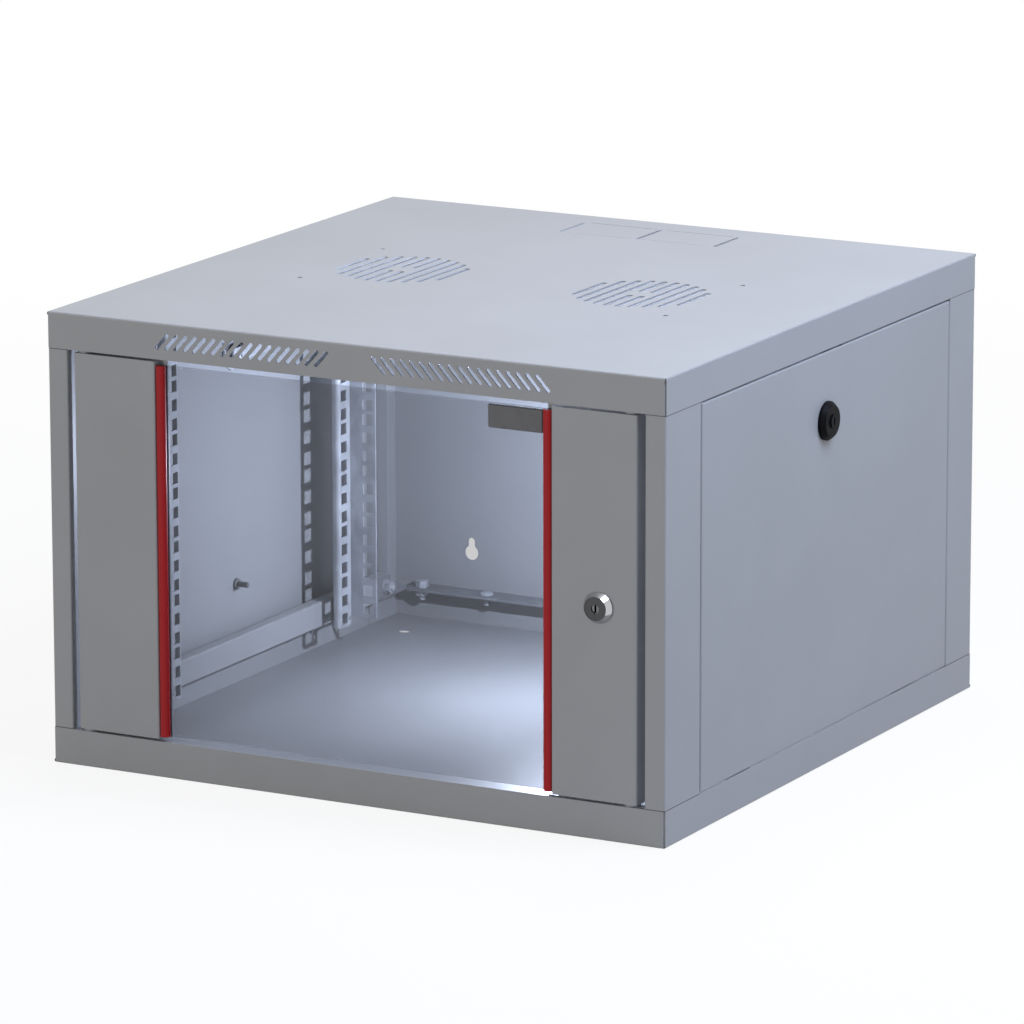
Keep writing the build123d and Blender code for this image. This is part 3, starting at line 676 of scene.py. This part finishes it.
class Palette:
    """Every finish of the cabinet, made once and handed out by name."""

    MADE = {Slot.ZINC: "fastener_zinc_plate", Slot.STUD: "stud_plate", Slot.PIN: "pin_steel"}

    def __init__(self) -> None:
        """Make the materials."""
        recipes = (
            PowderCoat("case_powder_coat", BODY_GREY),
            # The posts and the lips get painted shade in the gaps at their seams.
            PowderCoat("post_powder_coat", BODY_GREY, joints=Joints.ENDS),
            PowderCoat("lip_powder_coat", BODY_GREY, joints=Joints.CORNERS),
            PowderCoat("door_powder_coat", BODY_GREY, sheen=0.40),
            ZincPlate("rail_zinc_plate", (0.38, 0.39, 0.41), gloss=0.66, cloud=0.17),
            ZincPlate("crossbar_zinc_plate", (0.235, 0.24, 0.253), gloss=0.52, cloud=0.08),
            ZincPlate("fastener_zinc_plate", (0.45, 0.46, 0.48), gloss=0.36, cloud=0.06, drawn=EVEN),
            ZincPlate("stud_plate", (0.20, 0.195, 0.195), gloss=0.40, cloud=0.06, drawn=EVEN),
            BrightMetal("lock_chrome", (0.52, 0.525, 0.54), gloss=0.07, cap=-0.28640),
            BrightMetal("plug_nickel", (0.17, 0.18, 0.19), gloss=0.14),
            BrightMetal("pin_steel", (0.52, 0.52, 0.54), gloss=0.20),
            MouldedPlastic("latch_black_plastic", (0.006, 0.006, 0.007), gloss=0.46, index=1.13),
            MouldedPlastic("lock_face_plastic", (0.038, 0.038, 0.041), gloss=0.42, depth=0.12),
            MouldedPlastic("badge_plastic", (0.100, 0.101, 0.105), gloss=0.30, depth=0.05),
            MouldedPlastic("bush_nylon", (0.30, 0.32, 0.35), gloss=0.45, grain=1400.0),
            ExtrudedProfile("trim_red_plastic", (0.43, 0.005, 0.009)),
            FoamTape("seal_foam_tape", (0.20, 0.21, 0.24)),
            ClearGlass("door_clear_glass", (0.006, 0.007, 0.008), density=0.23),
        )
        self._materials = {recipe.name: recipe.build() for recipe in recipes}

    def dress(self, finish: str, *nodes: str) -> None:
        """Give carried-over pieces a finish.

        Args:
            finish: The finish's name.
            nodes: The names of the pieces.
        """
        material = self._materials[finish]
        for node in nodes:
            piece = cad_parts[node]
            if not piece.material_slots:
                piece.data.materials.append(material)
            for slot in piece.material_slots:
                slot.material = material
            LOG.info("%s: %s", node, finish)

    def settle(self, piece: bpy.types.Object, node: str, body: str, slot: Slot = Slot.ZINC) -> None:
        """Finish a made piece, and let it stand for its node on a body.

        Args:
            piece: The piece.
            node: The node that it stands for.
            body: The body that carries it.
            slot: The material slot that it takes its finish from.
        """
        piece.data.materials.append(self._materials[self.MADE[slot]])
        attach(piece, body)
        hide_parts(node)
        LOG.info("%s: made for %s", piece.name, node)


# Small turned and threaded hardware, each with its seat at the origin and its head along +Z


SEGMENTS = 48


def turned(
    rows: Sequence[Row],
    ripple: Optional[Ripple] = None,
    shape: Optional[Callable[[float, float, float], Row]] = None,
) -> bmesh.types.BMesh:
    """Turn a profile about Z into a closed mesh.

    Args:
        rows: Radius and height of each ring, from the lower pole to the upper one.
        ripple: The change of radius at an angle and a height, such as a thread's.
        shape: The radius and height that replace a ring's at an angle.

    Returns:
        The mesh, with a pole where the first and last radius is 0.
    """
    mesh = bmesh.new()
    rings = []
    for radius, height in rows:
        if radius == 0.0:
            rings.append([mesh.verts.new((0.0, 0.0, height))])
            continue
        ring = []
        for k in range(SEGMENTS):
            angle = 2.0 * math.pi * k / SEGMENTS
            far, high = shape(angle, radius, height) if shape else (radius, height)
            if ripple is not None:
                far += ripple(angle, height)
            ring.append(mesh.verts.new((far * math.cos(angle), far * math.sin(angle), high)))
        rings.append(ring)
    for low, high in zip(rings, rings[1:]):
        join_rings(mesh, low, high)
    if len(rings[0]) > 1:
        join_rings(mesh, rings[-1], rings[0])
    bmesh.ops.recalc_face_normals(mesh, faces=mesh.faces)
    return mesh


def join_rings(mesh: bmesh.types.BMesh, low: Ring, high: Ring) -> None:
    """Join two rings by faces. A ring of one point is a pole.

    Args:
        mesh: The mesh that holds them.
        low: The lower ring.
        high: The upper ring.
    """
    around = max(len(low), len(high))
    for k in range(around):
        nxt = (k + 1) % around
        if len(low) == 1:
            mesh.faces.new((low[0], high[nxt], high[k]))
        elif len(high) == 1:
            mesh.faces.new((low[k], low[nxt], high[0]))
        else:
            mesh.faces.new((low[k], low[nxt], high[nxt], high[k]))


def thread(radius: float, pitch: float, top: float, tip: float) -> Ripple:
    """Cut a screw thread.

    Args:
        radius: The outer radius.
        pitch: The height of one turn.
        top: Where the thread ends below the head.
        tip: Where it runs out at the tip.

    Returns:
        The change of radius at an angle and a height.
    """
    depth = 0.54 * pitch * min(1.0, radius / pitch)

    def ripple(angle: float, height: float) -> float:
        """Return the depth of the groove there, as a change of radius."""
        if not tip <= height <= top:
            return 0.0
        turn = (height / pitch - angle / (2.0 * math.pi)) % 1.0
        return -depth * abs(2.0 * turn - 1.0)

    return ripple


@dataclass(frozen=True)
class Shank:
    """A threaded shank below the seat, with a chamfered tip."""

    radius: float
    pitch: float
    length: float
    rings_a_turn: int = 6

    def rows(self) -> List[Row]:
        """List the shank's rings.

        Returns:
            Radius and height of each ring, from the tip up to the seat.
        """
        radius, low = self.radius, -self.length
        tip = low + 0.28 * radius
        run = self.length - 0.4 * radius
        steps = max(4, int(self.rings_a_turn * self.length / self.pitch))
        rows = [(0.0, low), (0.72 * radius, low), (radius, tip)]
        rows += [(radius, tip + run * k / steps) for k in range(1, steps)]
        return rows + [(radius, -0.1 * radius), (radius, 0.0)]

    def groove(self) -> Ripple:
        """Return the shank's thread."""
        return thread(self.radius, self.pitch, -0.1 * self.radius, -self.length + 0.3 * self.radius)


@dataclass(frozen=True)
class PanScrew:
    """A domed screw, plain or with a cross recess."""

    shank: Shank
    head_radius: float
    head: float
    drive: Drive = Drive.CROSS
    dome_rings: int = 9
    skirt: float = 0.3
    edge: float = 0.0001
    wing: float = 0.25
    narrow: float = 0.62
    wide: float = 1.12
    recess_floor: float = 0.38
    recess_top: float = 1.15

    def build(self) -> bmesh.types.BMesh:
        """Make the screw.

        Returns:
            The screw's mesh.
        """
        rows = self.shank.rows() + [(self.head_radius - self.edge, 0.0), (self.head_radius, self.edge)]
        for k in range(self.dome_rings):
            turn = math.radians(90.0 * k / self.dome_rings)
            high = self.skirt * self.head + (1.0 - self.skirt) * self.head * math.sin(turn)
            rows.append((self.head_radius * math.cos(turn), high))
        rows.append((0.0, self.head))
        screw = turned(rows, self.shank.groove())
        return self._cut_cross(screw) if self.drive is Drive.CROSS else screw

    def _cross(self) -> bmesh.types.BMesh:
        """Make the tapered cross that the recess is cut with.

        Returns:
            The cutter's mesh.
        """
        cutter = bmesh.new()
        for turn in (0.0, 90.0):
            wing = bmesh.ops.create_cube(cutter, size=1.0)["verts"]
            for corner in wing:
                low = corner.co.z < 0.0
                spread = self.head_radius * (self.narrow if low else self.wide)
                high = self.head * (self.recess_floor if low else self.recess_top)
                corner.co = Vector((corner.co.x * spread, corner.co.y * self.wing * spread, high))
            turned_by = Matrix.Rotation(math.radians(turn), 3, "Z")
            bmesh.ops.rotate(cutter, verts=wing, cent=(0, 0, 0), matrix=turned_by)
        return cutter

    def _cut_cross(self, screw: bmesh.types.BMesh) -> bmesh.types.BMesh:
        """Sink the cross recess into the head.

        Args:
            screw: The plain screw, which is used up.

        Returns:
            The cut screw.
        """
        things = []
        for name, mesh in (("screw_blank", screw), ("screw_knife", self._cross())):
            data = bpy.data.meshes.new(name)
            mesh.to_mesh(data)
            mesh.free()
            things.append(bpy.data.objects.new(name, data))
            bpy.context.scene.collection.objects.link(things[-1])
        blank, knife = things
        cut = blank.modifiers.new("recess", "BOOLEAN")
        cut.operation = "DIFFERENCE"
        cut.solver = "EXACT"
        cut.use_self = True
        cut.object = knife
        bpy.context.view_layer.update()
        shaped = blank.evaluated_get(bpy.context.evaluated_depsgraph_get())
        result = bmesh.new()
        result.from_mesh(shaped.to_mesh())
        shaped.to_mesh_clear()
        for thing in things:
            bpy.data.objects.remove(thing)
        return result


@dataclass(frozen=True)
class Hexagon:
    """What a hexagon bolt's head and a nut share: flats, height and chamfered corners."""

    flats: float
    height: float
    both_ends: ClassVar[bool] = False
    slope: ClassVar[float] = math.tan(math.radians(30.0))

    @property
    def land(self) -> float:
        """The radius of the flat face inside the chamfer."""
        return 0.94 * (self.flats / 2.0)

    def rim(self) -> List[Row]:
        """Return the outer rings from the seat up, marked by a radius of the whole flats."""
        return [(self.flats, 0.0), (self.flats, self.height), (self.land, self.height)]

    def outline(self, angle: float, radius: float, high: float) -> Row:
        """Give the marked rings the hexagon's outline and its chamfered edge.

        Args:
            angle: The angle about Z.
            radius: The ring's radius, which is the whole flats on a marked ring.
            high: The ring's height.

        Returns:
            The radius and height there.
        """
        if radius != self.flats:
            return radius, high
        turn = (angle + math.pi / 6.0) % (math.pi / 3.0) - math.pi / 6.0
        far = self.flats / 2.0 / math.cos(turn)
        drop = max(0.0, far - self.land) * self.slope
        if high > self.height / 2.0:
            return far, high - drop
        return far, (high + drop if self.both_ends else high)


@dataclass(frozen=True)
class HexBolt(Hexagon):
    """A hexagon bolt."""

    shank: Shank

    def build(self) -> bmesh.types.BMesh:
        """Make the bolt's mesh."""
        rows = self.shank.rows() + [(self.land, 0.0)] + self.rim() + [(0.0, self.height)]
        return turned(rows, self.shank.groove(), self.outline)


@dataclass(frozen=True)
class HexNut(Hexagon):
    """A hexagon nut with a chamfered bore."""

    bore: float
    lead: float = 0.0004
    both_ends: ClassVar[bool] = True

    def build(self) -> bmesh.types.BMesh:
        """Make the nut.

        Returns:
            The nut's mesh.
        """
        mouth, high = self.bore + self.lead, self.height
        inner = [(mouth, high), (self.bore, high - self.lead), (self.bore, self.lead)]
        return turned([(mouth, 0.0), (self.land, 0.0)] + self.rim() + inner, None, self.outline)


@dataclass(frozen=True)
class WeldStud:
    """A threaded stud that stands on its welded flange."""

    radius: float = 0.0025
    pitch: float = 0.0008
    length: float = 0.0120
    flange_radius: float = 0.0050
    flange: float = 0.0020
    edge: float = 0.0003
    lead: float = 0.0006
    plain: float = 0.0010
    rings_a_turn: int = 6

    def build(self) -> bmesh.types.BMesh:
        """Make the stud.

        Returns:
            The stud's mesh.
        """
        run = self.length - self.flange
        steps = int(self.rings_a_turn * run / self.pitch)
        rows: List[Row] = [(0.0, 0.0), (self.flange_radius, 0.0)]
        rows += [(self.flange_radius, self.flange - self.edge)]
        rows += [(self.flange_radius - self.edge, self.flange), (self.radius, self.flange)]
        rows += [(self.radius, self.flange + (run - self.lead) * k / steps) for k in range(1, steps + 1)]
        rows += [(self.radius - self.lead, self.length), (0.0, self.length)]
        top, foot = self.length - self.pitch, self.flange + self.plain
        return turned(rows, thread(self.radius, self.pitch, top, foot))


@dataclass(frozen=True)
class CoilSpring:
    """A compression spring of round wire with closed ends."""

    height: float
    coil_radius: float = 0.0040
    wire_radius: float = 0.0006
    turns: float = 6.5
    steps: int = 260
    around: int = 10
    closed: float = 0.12

    def build(self) -> bmesh.types.BMesh:
        """Wind the spring up from the origin.

        Returns:
            The spring's mesh.
        """
        up = Vector((0.0, 0.0, 1.0))
        rise = self.height - 2.0 * self.wire_radius
        mesh = bmesh.new()
        rings = []
        for k in range(self.steps + 1):
            share = k / self.steps
            angle = 2.0 * math.pi * self.turns * share
            lift = rise * min(1.0, max(0.0, (share - self.closed) / (1.0 - 2.0 * self.closed)))
            out = Vector((math.cos(angle), math.sin(angle), 0.0))
            centre = self.coil_radius * out + (self.wire_radius + lift) * up
            bends = [2.0 * math.pi * j / self.around for j in range(self.around)]
            steps = [self.wire_radius * (math.cos(bend) * out + math.sin(bend) * up) for bend in bends]
            rings.append([mesh.verts.new(centre + step) for step in steps])
        for first, second in zip(rings, rings[1:]):
            join_rings(mesh, first, second)
        mesh.faces.new(rings[0])
        mesh.faces.new(rings[-1])
        bmesh.ops.recalc_face_normals(mesh, faces=mesh.faces)
        return mesh


M4_SCREW = PanScrew(Shank(0.0020, 0.0007, 0.0080), head_radius=0.0037, head=0.0024)
M6_NUT = HexNut(0.010, 0.0050, bore=0.00305)


def make_piece(
    name: str, copies: Iterable[Tuple[bmesh.types.BMesh, Matrix]], smooth: float = 32.0
) -> bpy.types.Object:
    """Join placed copies of meshes into one object.

    Args:
        name: The object's name.
        copies: Each mesh with its placing matrix.
        smooth: The angle in degrees below which edges are shaded smooth.

    Returns:
        The object, linked to the scene.
    """
    joined = bmesh.new()
    for mesh, placing in copies:
        loose = bpy.data.meshes.new("loose")
        mesh.to_mesh(loose)
        loose.transform(placing)
        joined.from_mesh(loose)
        bpy.data.meshes.remove(loose)
    data = bpy.data.meshes.new(name)
    joined.to_mesh(data)
    joined.free()
    data.shade_smooth()
    data.set_sharp_from_angle(angle=math.radians(smooth))
    piece = bpy.data.objects.new(name, data)
    bpy.context.scene.collection.objects.link(piece)
    return piece


def stand(place: Point, facing: Facing, turn: float = 0.0) -> Matrix:
    """Return the matrix that stands a fastener's seat at a place.

    Args:
        place: The centre of the seat.
        facing: The way the head faces.
        turn: The turn about its own axis, in degrees.

    Returns:
        The placing matrix.
    """
    lean = Vector((0.0, 0.0, 1.0)).rotation_difference(Vector(facing.value)).to_matrix().to_4x4()
    return Matrix.Translation(place) @ lean @ Matrix.Rotation(math.radians(turn), 4, "Z")


# Sub-assemblies


@dataclass
class Case:
    """The folded steel case: roof, floor, corner posts, back wall and carriers."""

    folded_lips: Tuple[str, ...] = ("top_cover", "bottom_tray")
    uprights: Tuple[str, ...] = ("back_wall", "front_post_left", "front_post_right")
    carrier_rows: Tuple[str, ...] = ("lower", "upper")

    def build(self, palette: Palette) -> None:
        """Dress the case in powder coat, and its bushes in nylon.

        Args:
            palette: The finishes.
        """
        carriers = [f"carrier_{row}_{hand.word}" for row in self.carrier_rows for hand in Hand]
        palette.dress("lip_powder_coat", *self.folded_lips)
        palette.dress("post_powder_coat", *self.uprights)
        palette.dress("case_powder_coat", *carriers)
        palette.dress("bush_nylon", "hinge_bushes")


@dataclass
class RackFrame:
    """The rails and the rear crossbars, zinc plated, with their fasteners."""

    carrier_screw: PanScrew = PanScrew(Shank(0.0025, 0.0008, 0.0085), head_radius=0.0047, head=0.0030)
    carrier_screw_x: float = 0.259
    screw_heights: Tuple[float, float] = (0.039, 0.331)
    front_tab_y: float = -0.21875
    rear_tab_y: float = 0.22995
    rail_web_x: float = 0.2511
    rail_screw_y: Tuple[float, float] = (-0.1833, 0.1448)
    bar_bolt: HexBolt = HexBolt(0.010, 0.0040, Shank(0.003, 0.001, 0.0113))
    bolt_seat_x: float = 0.2538
    nut_seat_x: float = 0.2495
    bolt_y: float = 0.22065
    bolt_heights: Tuple[float, float] = (0.0399, 0.3301)
    bar_top: float = 0.0314
    bar_sheet: float = 0.0028
    bar_hardware_y: float = 0.26605
    earth_bolt: HexBolt = HexBolt(0.010, 0.0060, Shank(0.003, 0.001, 0.0117))
    earth_bolt_x: float = -0.2405
    clamp_screw: PanScrew = PanScrew(
        Shank(0.0030, 0.0010, 0.0096), head_radius=0.0058, head=0.0030, drive=Drive.PLAIN
    )
    clamp_screw_x: float = -0.1769

    def build(self, palette: Palette) -> None:
        """Dress the rails and bars, and make the fasteners.

        Args:
            palette: The finishes.
        """
        rails = [f"rail_{end}_{hand.word}" for end in ("front", "rear") for hand in Hand]
        palette.dress("rail_zinc_plate", *rails)
        palette.dress("crossbar_zinc_plate", "crossbar_lower", "crossbar_upper")
        palette.dress("fastener_zinc_plate", "crossbar_washers")
        self._carrier_screws(palette)
        self._rail_screws(palette)
        self._crossbar_bolts(palette)
        self._bar_hardware(palette)

    def _carrier_screws(self, palette: Palette) -> None:
        """Make the eight screws through the carriers' end tabs.

        Args:
            palette: The finishes.
        """
        screw = self.carrier_screw.build()
        copies = []
        for hand in Hand:
            x = hand.value * self.carrier_screw_x
            for number, z in enumerate(self.screw_heights):
                front_turn, rear_turn = 20.0 + 31.0 * number, 52.0 * number
                copies.append((screw, stand((x, self.front_tab_y, z), Facing.WALL, front_turn)))
                copies.append((screw, stand((x, self.rear_tab_y, z), Facing.FRONT, rear_turn)))
        palette.settle(make_piece("carrier_screw_set", copies), "carrier_screws", "cabinet")

    def _rail_screws(self, palette: Palette) -> None:
        """Make the eight screws through the rails' legs.

        Args:
            palette: The finishes.
        """
        screw = M4_SCREW.build()
        copies = []
        for hand in Hand:
            for number, z in enumerate(self.screw_heights):
                for place, y in enumerate(self.rail_screw_y):
                    turn = 17.0 + 40.0 * number + 23.0 * place
                    seat = (hand.value * self.rail_web_x, y, z)
                    copies.append((screw, stand(seat, hand.inward, turn)))
        palette.settle(make_piece("rail_screw_set", copies), "rail_screws", "cabinet")

    def _crossbar_bolts(self, palette: Palette) -> None:
        """Make the bolts and nuts of the crossbars' tabs.

        Args:
            palette: The finishes.
        """
        bolt, nut = self.bar_bolt.build(), M6_NUT.build()
        bolts, nuts = [], []
        for hand in Hand:
            for number, z in enumerate(self.bolt_heights):
                turn = 12.0 + 29.0 * number
                bolt_seat = (hand.value * self.bolt_seat_x, self.bolt_y, z)
                nut_seat = (hand.value * self.nut_seat_x, self.bolt_y, z)
                bolts.append((bolt, stand(bolt_seat, hand.outward, turn)))
                nuts.append((nut, stand(nut_seat, hand.inward, turn + 9.0)))
        palette.settle(make_piece("crossbar_bolt_set", bolts), "crossbar_bolts", "cabinet")
        palette.settle(make_piece("crossbar_nut_set", nuts), "crossbar_nuts", "cabinet")

    def _bar_hardware(self, palette: Palette) -> None:
        """Make the earth bolt, its nut and the cable clamp screw.

        Args:
            palette: The finishes.
        """
        top, bolt_x = self.bar_top, self.earth_bolt_x
        under = top - self.bar_sheet - M6_NUT.height
        rows = (
            ("earth_bolt_made", "earth_bolt", self.earth_bolt, bolt_x, top, 8.0),
            ("earth_nut_made", "earth_bolt_nut", M6_NUT, bolt_x, under, 21.0),
            ("clamp_screw_made", "cable_clamp_screw", self.clamp_screw, self.clamp_screw_x, top, 0.0),
        )
        for name, node, fastener, x, z, turn in rows:
            placing = stand((x, self.bar_hardware_y, z), Facing.UP, turn)
            palette.settle(make_piece(name, [(fastener.build(), placing)]), node, "cabinet")


@dataclass
class SidePanel:
    """One lift-off side panel with its weld stud and its key latch."""

    hand: Hand
    skin: float = 0.2752
    sheet: float = 0.0010
    stud: WeldStud = WeldStud()
    stud_y: float = 0.00675
    stud_z: float = 0.086
    latch_z: float = 0.283
    latch_depth: float = 0.0085
    cam_sheet: float = 0.0020
    ring_nut: HexNut = HexNut(0.024, 0.0035, bore=0.00905)

    def build(self, palette: Palette) -> None:
        """Dress the panel and the latch, and make the stud, the ring nut and the screw.

        Args:
            palette: The finishes.
        """
        side = self.hand.word
        panel, latch = f"side_panel_{side[0]}", f"side_latch_{side[0]}"
        palette.dress("case_powder_coat", f"side_panel_{side}")
        palette.dress("latch_black_plastic", f"latch_body_{side}", f"latch_plug_{side}")
        palette.dress("fastener_zinc_plate", f"latch_cam_{side}")
        inner, cam = self.skin - self.sheet, self.skin - self.latch_depth - self.cam_sheet
        stud_seat, latch_seat = (self.stud_y, self.stud_z), (0.0, self.latch_z)
        piece = self._inside(f"earth_stud_made_{side}", self.stud.build(), (inner, *stud_seat), 0.0)
        palette.settle(piece, f"earth_stud_{side}", panel, Slot.STUD)
        piece = self._inside(f"latch_ring_nut_{side}", self.ring_nut.build(), (inner, *latch_seat), 30.0)
        palette.settle(piece, f"latch_nut_{side}", panel)
        piece = self._inside(f"latch_cam_screw_{side}", M4_SCREW.build(), (cam, *latch_seat), 33.0)
        palette.settle(piece, f"latch_screw_{side}", latch)

    def _inside(self, name: str, mesh: bmesh.types.BMesh, place: Point, turn: float) -> bpy.types.Object:
        """Stand a fastener on the panel's inside.

        Args:
            name: The piece's name.
            mesh: The fastener.
            place: Its seat, as on the right-hand panel.
            turn: Its turn about its own axis, in degrees.

        Returns:
            The piece.
        """
        seat = (self.hand.value * place[0], place[1], place[2])
        return make_piece(name, [(mesh, stand(seat, self.hand.inward, turn))])


@dataclass
class Door:
    """The glass door: two steel stiles, the pane, its tapes, trims and badge plate."""

    stiles: Tuple[str, ...] = ("door_stile_left", "door_stile_right", "hinge_pin_bracket")
    trims: Tuple[str, ...] = ("door_trim_left", "door_trim_right")

    def build(self, palette: Palette) -> None:
        """Dress the door's pieces.

        Args:
            palette: The finishes.
        """
        palette.dress("door_powder_coat", *self.stiles)
        palette.dress("trim_red_plastic", *self.trims)
        palette.dress("door_clear_glass", "door_glass")
        palette.dress("seal_foam_tape", "door_tapes")
        palette.dress("badge_plastic", "badge_plate")


@dataclass
class Hinge:
    """The hinge pins and the coil spring under the upper one."""

    foot: Point = (-0.244, -0.27275, 0.318575)
    spring: CoilSpring = CoilSpring(height=0.0166)
    squeezed: float = 0.57

    def build(self, palette: Palette) -> None:
        """Dress the pins, and wind the spring that the upper pin squeezes.

        Args:
            palette: The finishes.
        """
        palette.dress("pin_steel", "hinge_pin_lower", "hinge_pin_upper")
        piece = make_piece("hinge_coil_spring", [(self.spring.build(), Matrix.Translation(self.foot))], 60.0)
        palette.settle(piece, "hinge_spring", "door", Slot.PIN)
        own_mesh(piece)


@dataclass
class DoorLock:
    """The chrome cam lock on the right-hand stile."""

    x: float = 0.218
    front: float = -0.28025
    z: float = 0.185
    stile_sheet: float = 0.0012
    cam_back: float = 0.0234
    ring_nut: HexNut = HexNut(0.022, 0.0040, bore=0.00945)

    def build(self, palette: Palette) -> None:
        """Dress the lock, and make its ring nut and cam screw.

        Args:
            palette: The finishes.
        """
        palette.dress("lock_chrome", "lock_body")
        palette.dress("lock_face_plastic", "lock_face")
        palette.dress("plug_nickel", "lock_plug")
        palette.dress("fastener_zinc_plate", "lock_cam")
        behind = stand((self.x, self.front + self.stile_sheet, self.z), Facing.WALL, 30.0)
        ring = make_piece("lock_ring_nut", [(self.ring_nut.build(), behind)])
        palette.settle(ring, "lock_nut_ring", "door")
        on_cam = stand((self.x, self.front + self.cam_back, self.z), Facing.WALL, 40.0)
        screw = make_piece("lock_cam_screw", [(M4_SCREW.build(), on_cam)])
        palette.settle(screw, "lock_screw", "door_lock")


# Studio


@dataclass(frozen=True)
class Lamp:
    """One soft rectangular lamp, aimed at a point."""

    name: str
    place: Point
    target: Point
    size: Row
    power: float
    colour: Colour

    def build(self) -> None:
        """Hang the lamp."""
        data = bpy.data.lights.new(self.name, "AREA")
        data.shape = "RECTANGLE"
        data.size, data.size_y = self.size
        data.energy = self.power
        data.color = self.colour
        lamp = bpy.data.objects.new(self.name, data)
        lamp.location = self.place
        aim = Vector(self.target) - Vector(self.place)
        lamp.rotation_euler = aim.to_track_quat("-Z", "Y").to_euler()
        lamp.visible_camera = False
        bpy.context.scene.collection.objects.link(lamp)
        LOG.info("lamp %s", self.name)


@dataclass(frozen=True)
class InnerLamp:
    """The small lamp in the middle of the cabinet."""

    place: Point = (-0.0029, 0.0696, 0.1689)
    radius: float = 0.0025
    power: float = 4.4
    colour: Colour = (0.69, 0.782, 1.0)

    def build(self) -> None:
        """Hang the lamp."""
        data = bpy.data.lights.new("inner_lamp", "POINT")
        data.shadow_soft_size = self.radius
        data.energy = self.power
        data.color = self.colour
        lamp = bpy.data.objects.new("inner_lamp", data)
        lamp.location = self.place
        lamp.visible_camera = False
        bpy.context.scene.collection.objects.link(lamp)
        LOG.info("inner lamp hung")


@dataclass
class Studio:
    """The pale floor, the white surround and the lamps."""

    lamps: Tuple[Lamp, ...] = (
        Lamp("top_softbox", (-0.3, 0.9, 3.9), (0.0, 0.0, 0.3), (2.0, 2.0), 50.0, (1.0, 0.988, 0.965)),
        Lamp("right_softbox", (1.1, -0.05, 1.7), (0.0, 0.0, 0.25), (0.9, 0.9), 38.5, (0.58, 0.70, 0.96)),
        Lamp("front_softbox", (-2.7, -6.3, 1.2), (0.0, 0.0, 0.15), (2.0, 1.6), 103.0, (1.0, 0.99, 0.985)),
    )
    inner_lamp: InnerLamp = InnerLamp()
    floor_half: float = 14.0
    floor_z: float = -0.0002
    paper: Colour = (0.40, 0.40, 0.40)
    paper_shown: Colour = (0.80, 0.80, 0.80)
    fade: Row = (0.5, 2.2)
    near_white: float = 0.88
    surround: Colour = (1.0, 0.985, 0.965)
    surround_level: float = 0.30

    def build(self) -> None:
        """Lay the floor, light the surround and hang the lamps."""
        bpy.context.scene.view_settings.view_transform = "Standard"
        self._floor()
        self._surround()
        for lamp in self.lamps:
            lamp.build()
        self.inner_lamp.build()

    def _floor(self) -> None:
        """Lay a pale floor that keeps the cabinet's shadow and turns white away from it."""
        mesh = bmesh.new()
        bmesh.ops.create_grid(mesh, x_segments=2, y_segments=2, size=self.floor_half)
        floor = make_piece("studio_floor", [(mesh, Matrix.Translation((0.0, 0.0, self.floor_z)))])
        graph = ShaderGraph("floor_paper")
        shown = graph.background_rays()
        away = graph.node("ShaderNodeVectorMath", {"operation": "LENGTH"}, {0: graph.place()})
        far = Signal(graph, away.outputs["Value"]).step(*self.fade)
        paper = graph.principled(
            {
                "Base Color": graph.blend(shown, self.paper, self.paper_shown),
                "Roughness": 0.9,
                "Specular IOR Level": 0.0,
            },
        )
        white = graph.node("ShaderNodeEmission", None, {"Color": WHITE, "Strength": 1.0})
        share = shown * (self.near_white + (1.0 - self.near_white) * far)
        floor.data.materials.append(graph.finish(graph.mix(share, paper, white)))
        LOG.info("studio floor laid")

    def _surround(self) -> None:
        """Surround the scene: white where it shows, a soft light elsewhere."""
        graph = SurroundGraph("studio_surround")
        colour = (*self.surround, 1.0)
        soft = graph.node("ShaderNodeBackground", None, {"Color": colour, "Strength": self.surround_level})
        white = graph.node("ShaderNodeBackground", None, {"Color": WHITE, "Strength": 1.0})
        bpy.context.scene.world = graph.surround(graph.mix(graph.background_rays(), soft, white))
        LOG.info("studio surround lit")


@dataclass
class PhotoCamera:
    """The camera at the photograph's place and angle."""

    place: Point = (2.656595, -4.940010, 1.484423)
    azimuth: float = 28.345
    elevation: float = 13.105
    roll: float = -0.12
    focal_pixels: float = 7070.49
    frame_pixels: float = 1024.0
    sensor: float = 36.0
    clip_end: float = 100.0

    def build(self) -> None:
        """Set the camera up and make it the scene's."""
        turn, lift, roll = (math.radians(v) for v in (self.azimuth, self.elevation, self.roll))
        back = Vector((math.sin(turn) * math.cos(lift), -math.cos(turn) * math.cos(lift), math.sin(lift)))
        right = Vector((0.0, 0.0, 1.0)).cross(back).normalized()
        up = back.cross(right)
        rolled_right = math.cos(roll) * right + math.sin(roll) * up
        rolled_up = -math.sin(roll) * right + math.cos(roll) * up
        data = bpy.data.cameras.new("photo_camera")
        data.sensor_fit = "HORIZONTAL"
        data.sensor_width = self.sensor
        data.lens = self.focal_pixels * self.sensor / self.frame_pixels
        data.clip_end = self.clip_end
        camera = bpy.data.objects.new("photo_camera", data)
        axes = Matrix((rolled_right, rolled_up, back)).transposed().to_4x4()
        camera.matrix_world = Matrix.Translation(self.place) @ axes
        bpy.context.scene.collection.objects.link(camera)
        bpy.context.scene.camera = camera
        LOG.info("camera set, lens %.1f mm", data.lens)


def write_sizes() -> None:
    """Log a line once the dressing is done.
    """
    LOG.info("sizes written")


def main() -> None:
    """Build the studio and dress the cabinet, one sub-assembly after another."""
    logging.basicConfig(level=logging.INFO, format="%(name)s: %(message)s")
    palette = Palette()
    PhotoCamera().build()
    Studio().build()
    Case().build(palette)
    RackFrame().build(palette)
    for hand in Hand:
        SidePanel(hand).build(palette)
    Door().build(palette)
    Hinge().build(palette)
    DoorLock().build(palette)
    write_sizes()


if __name__ == "__main__":
    main()
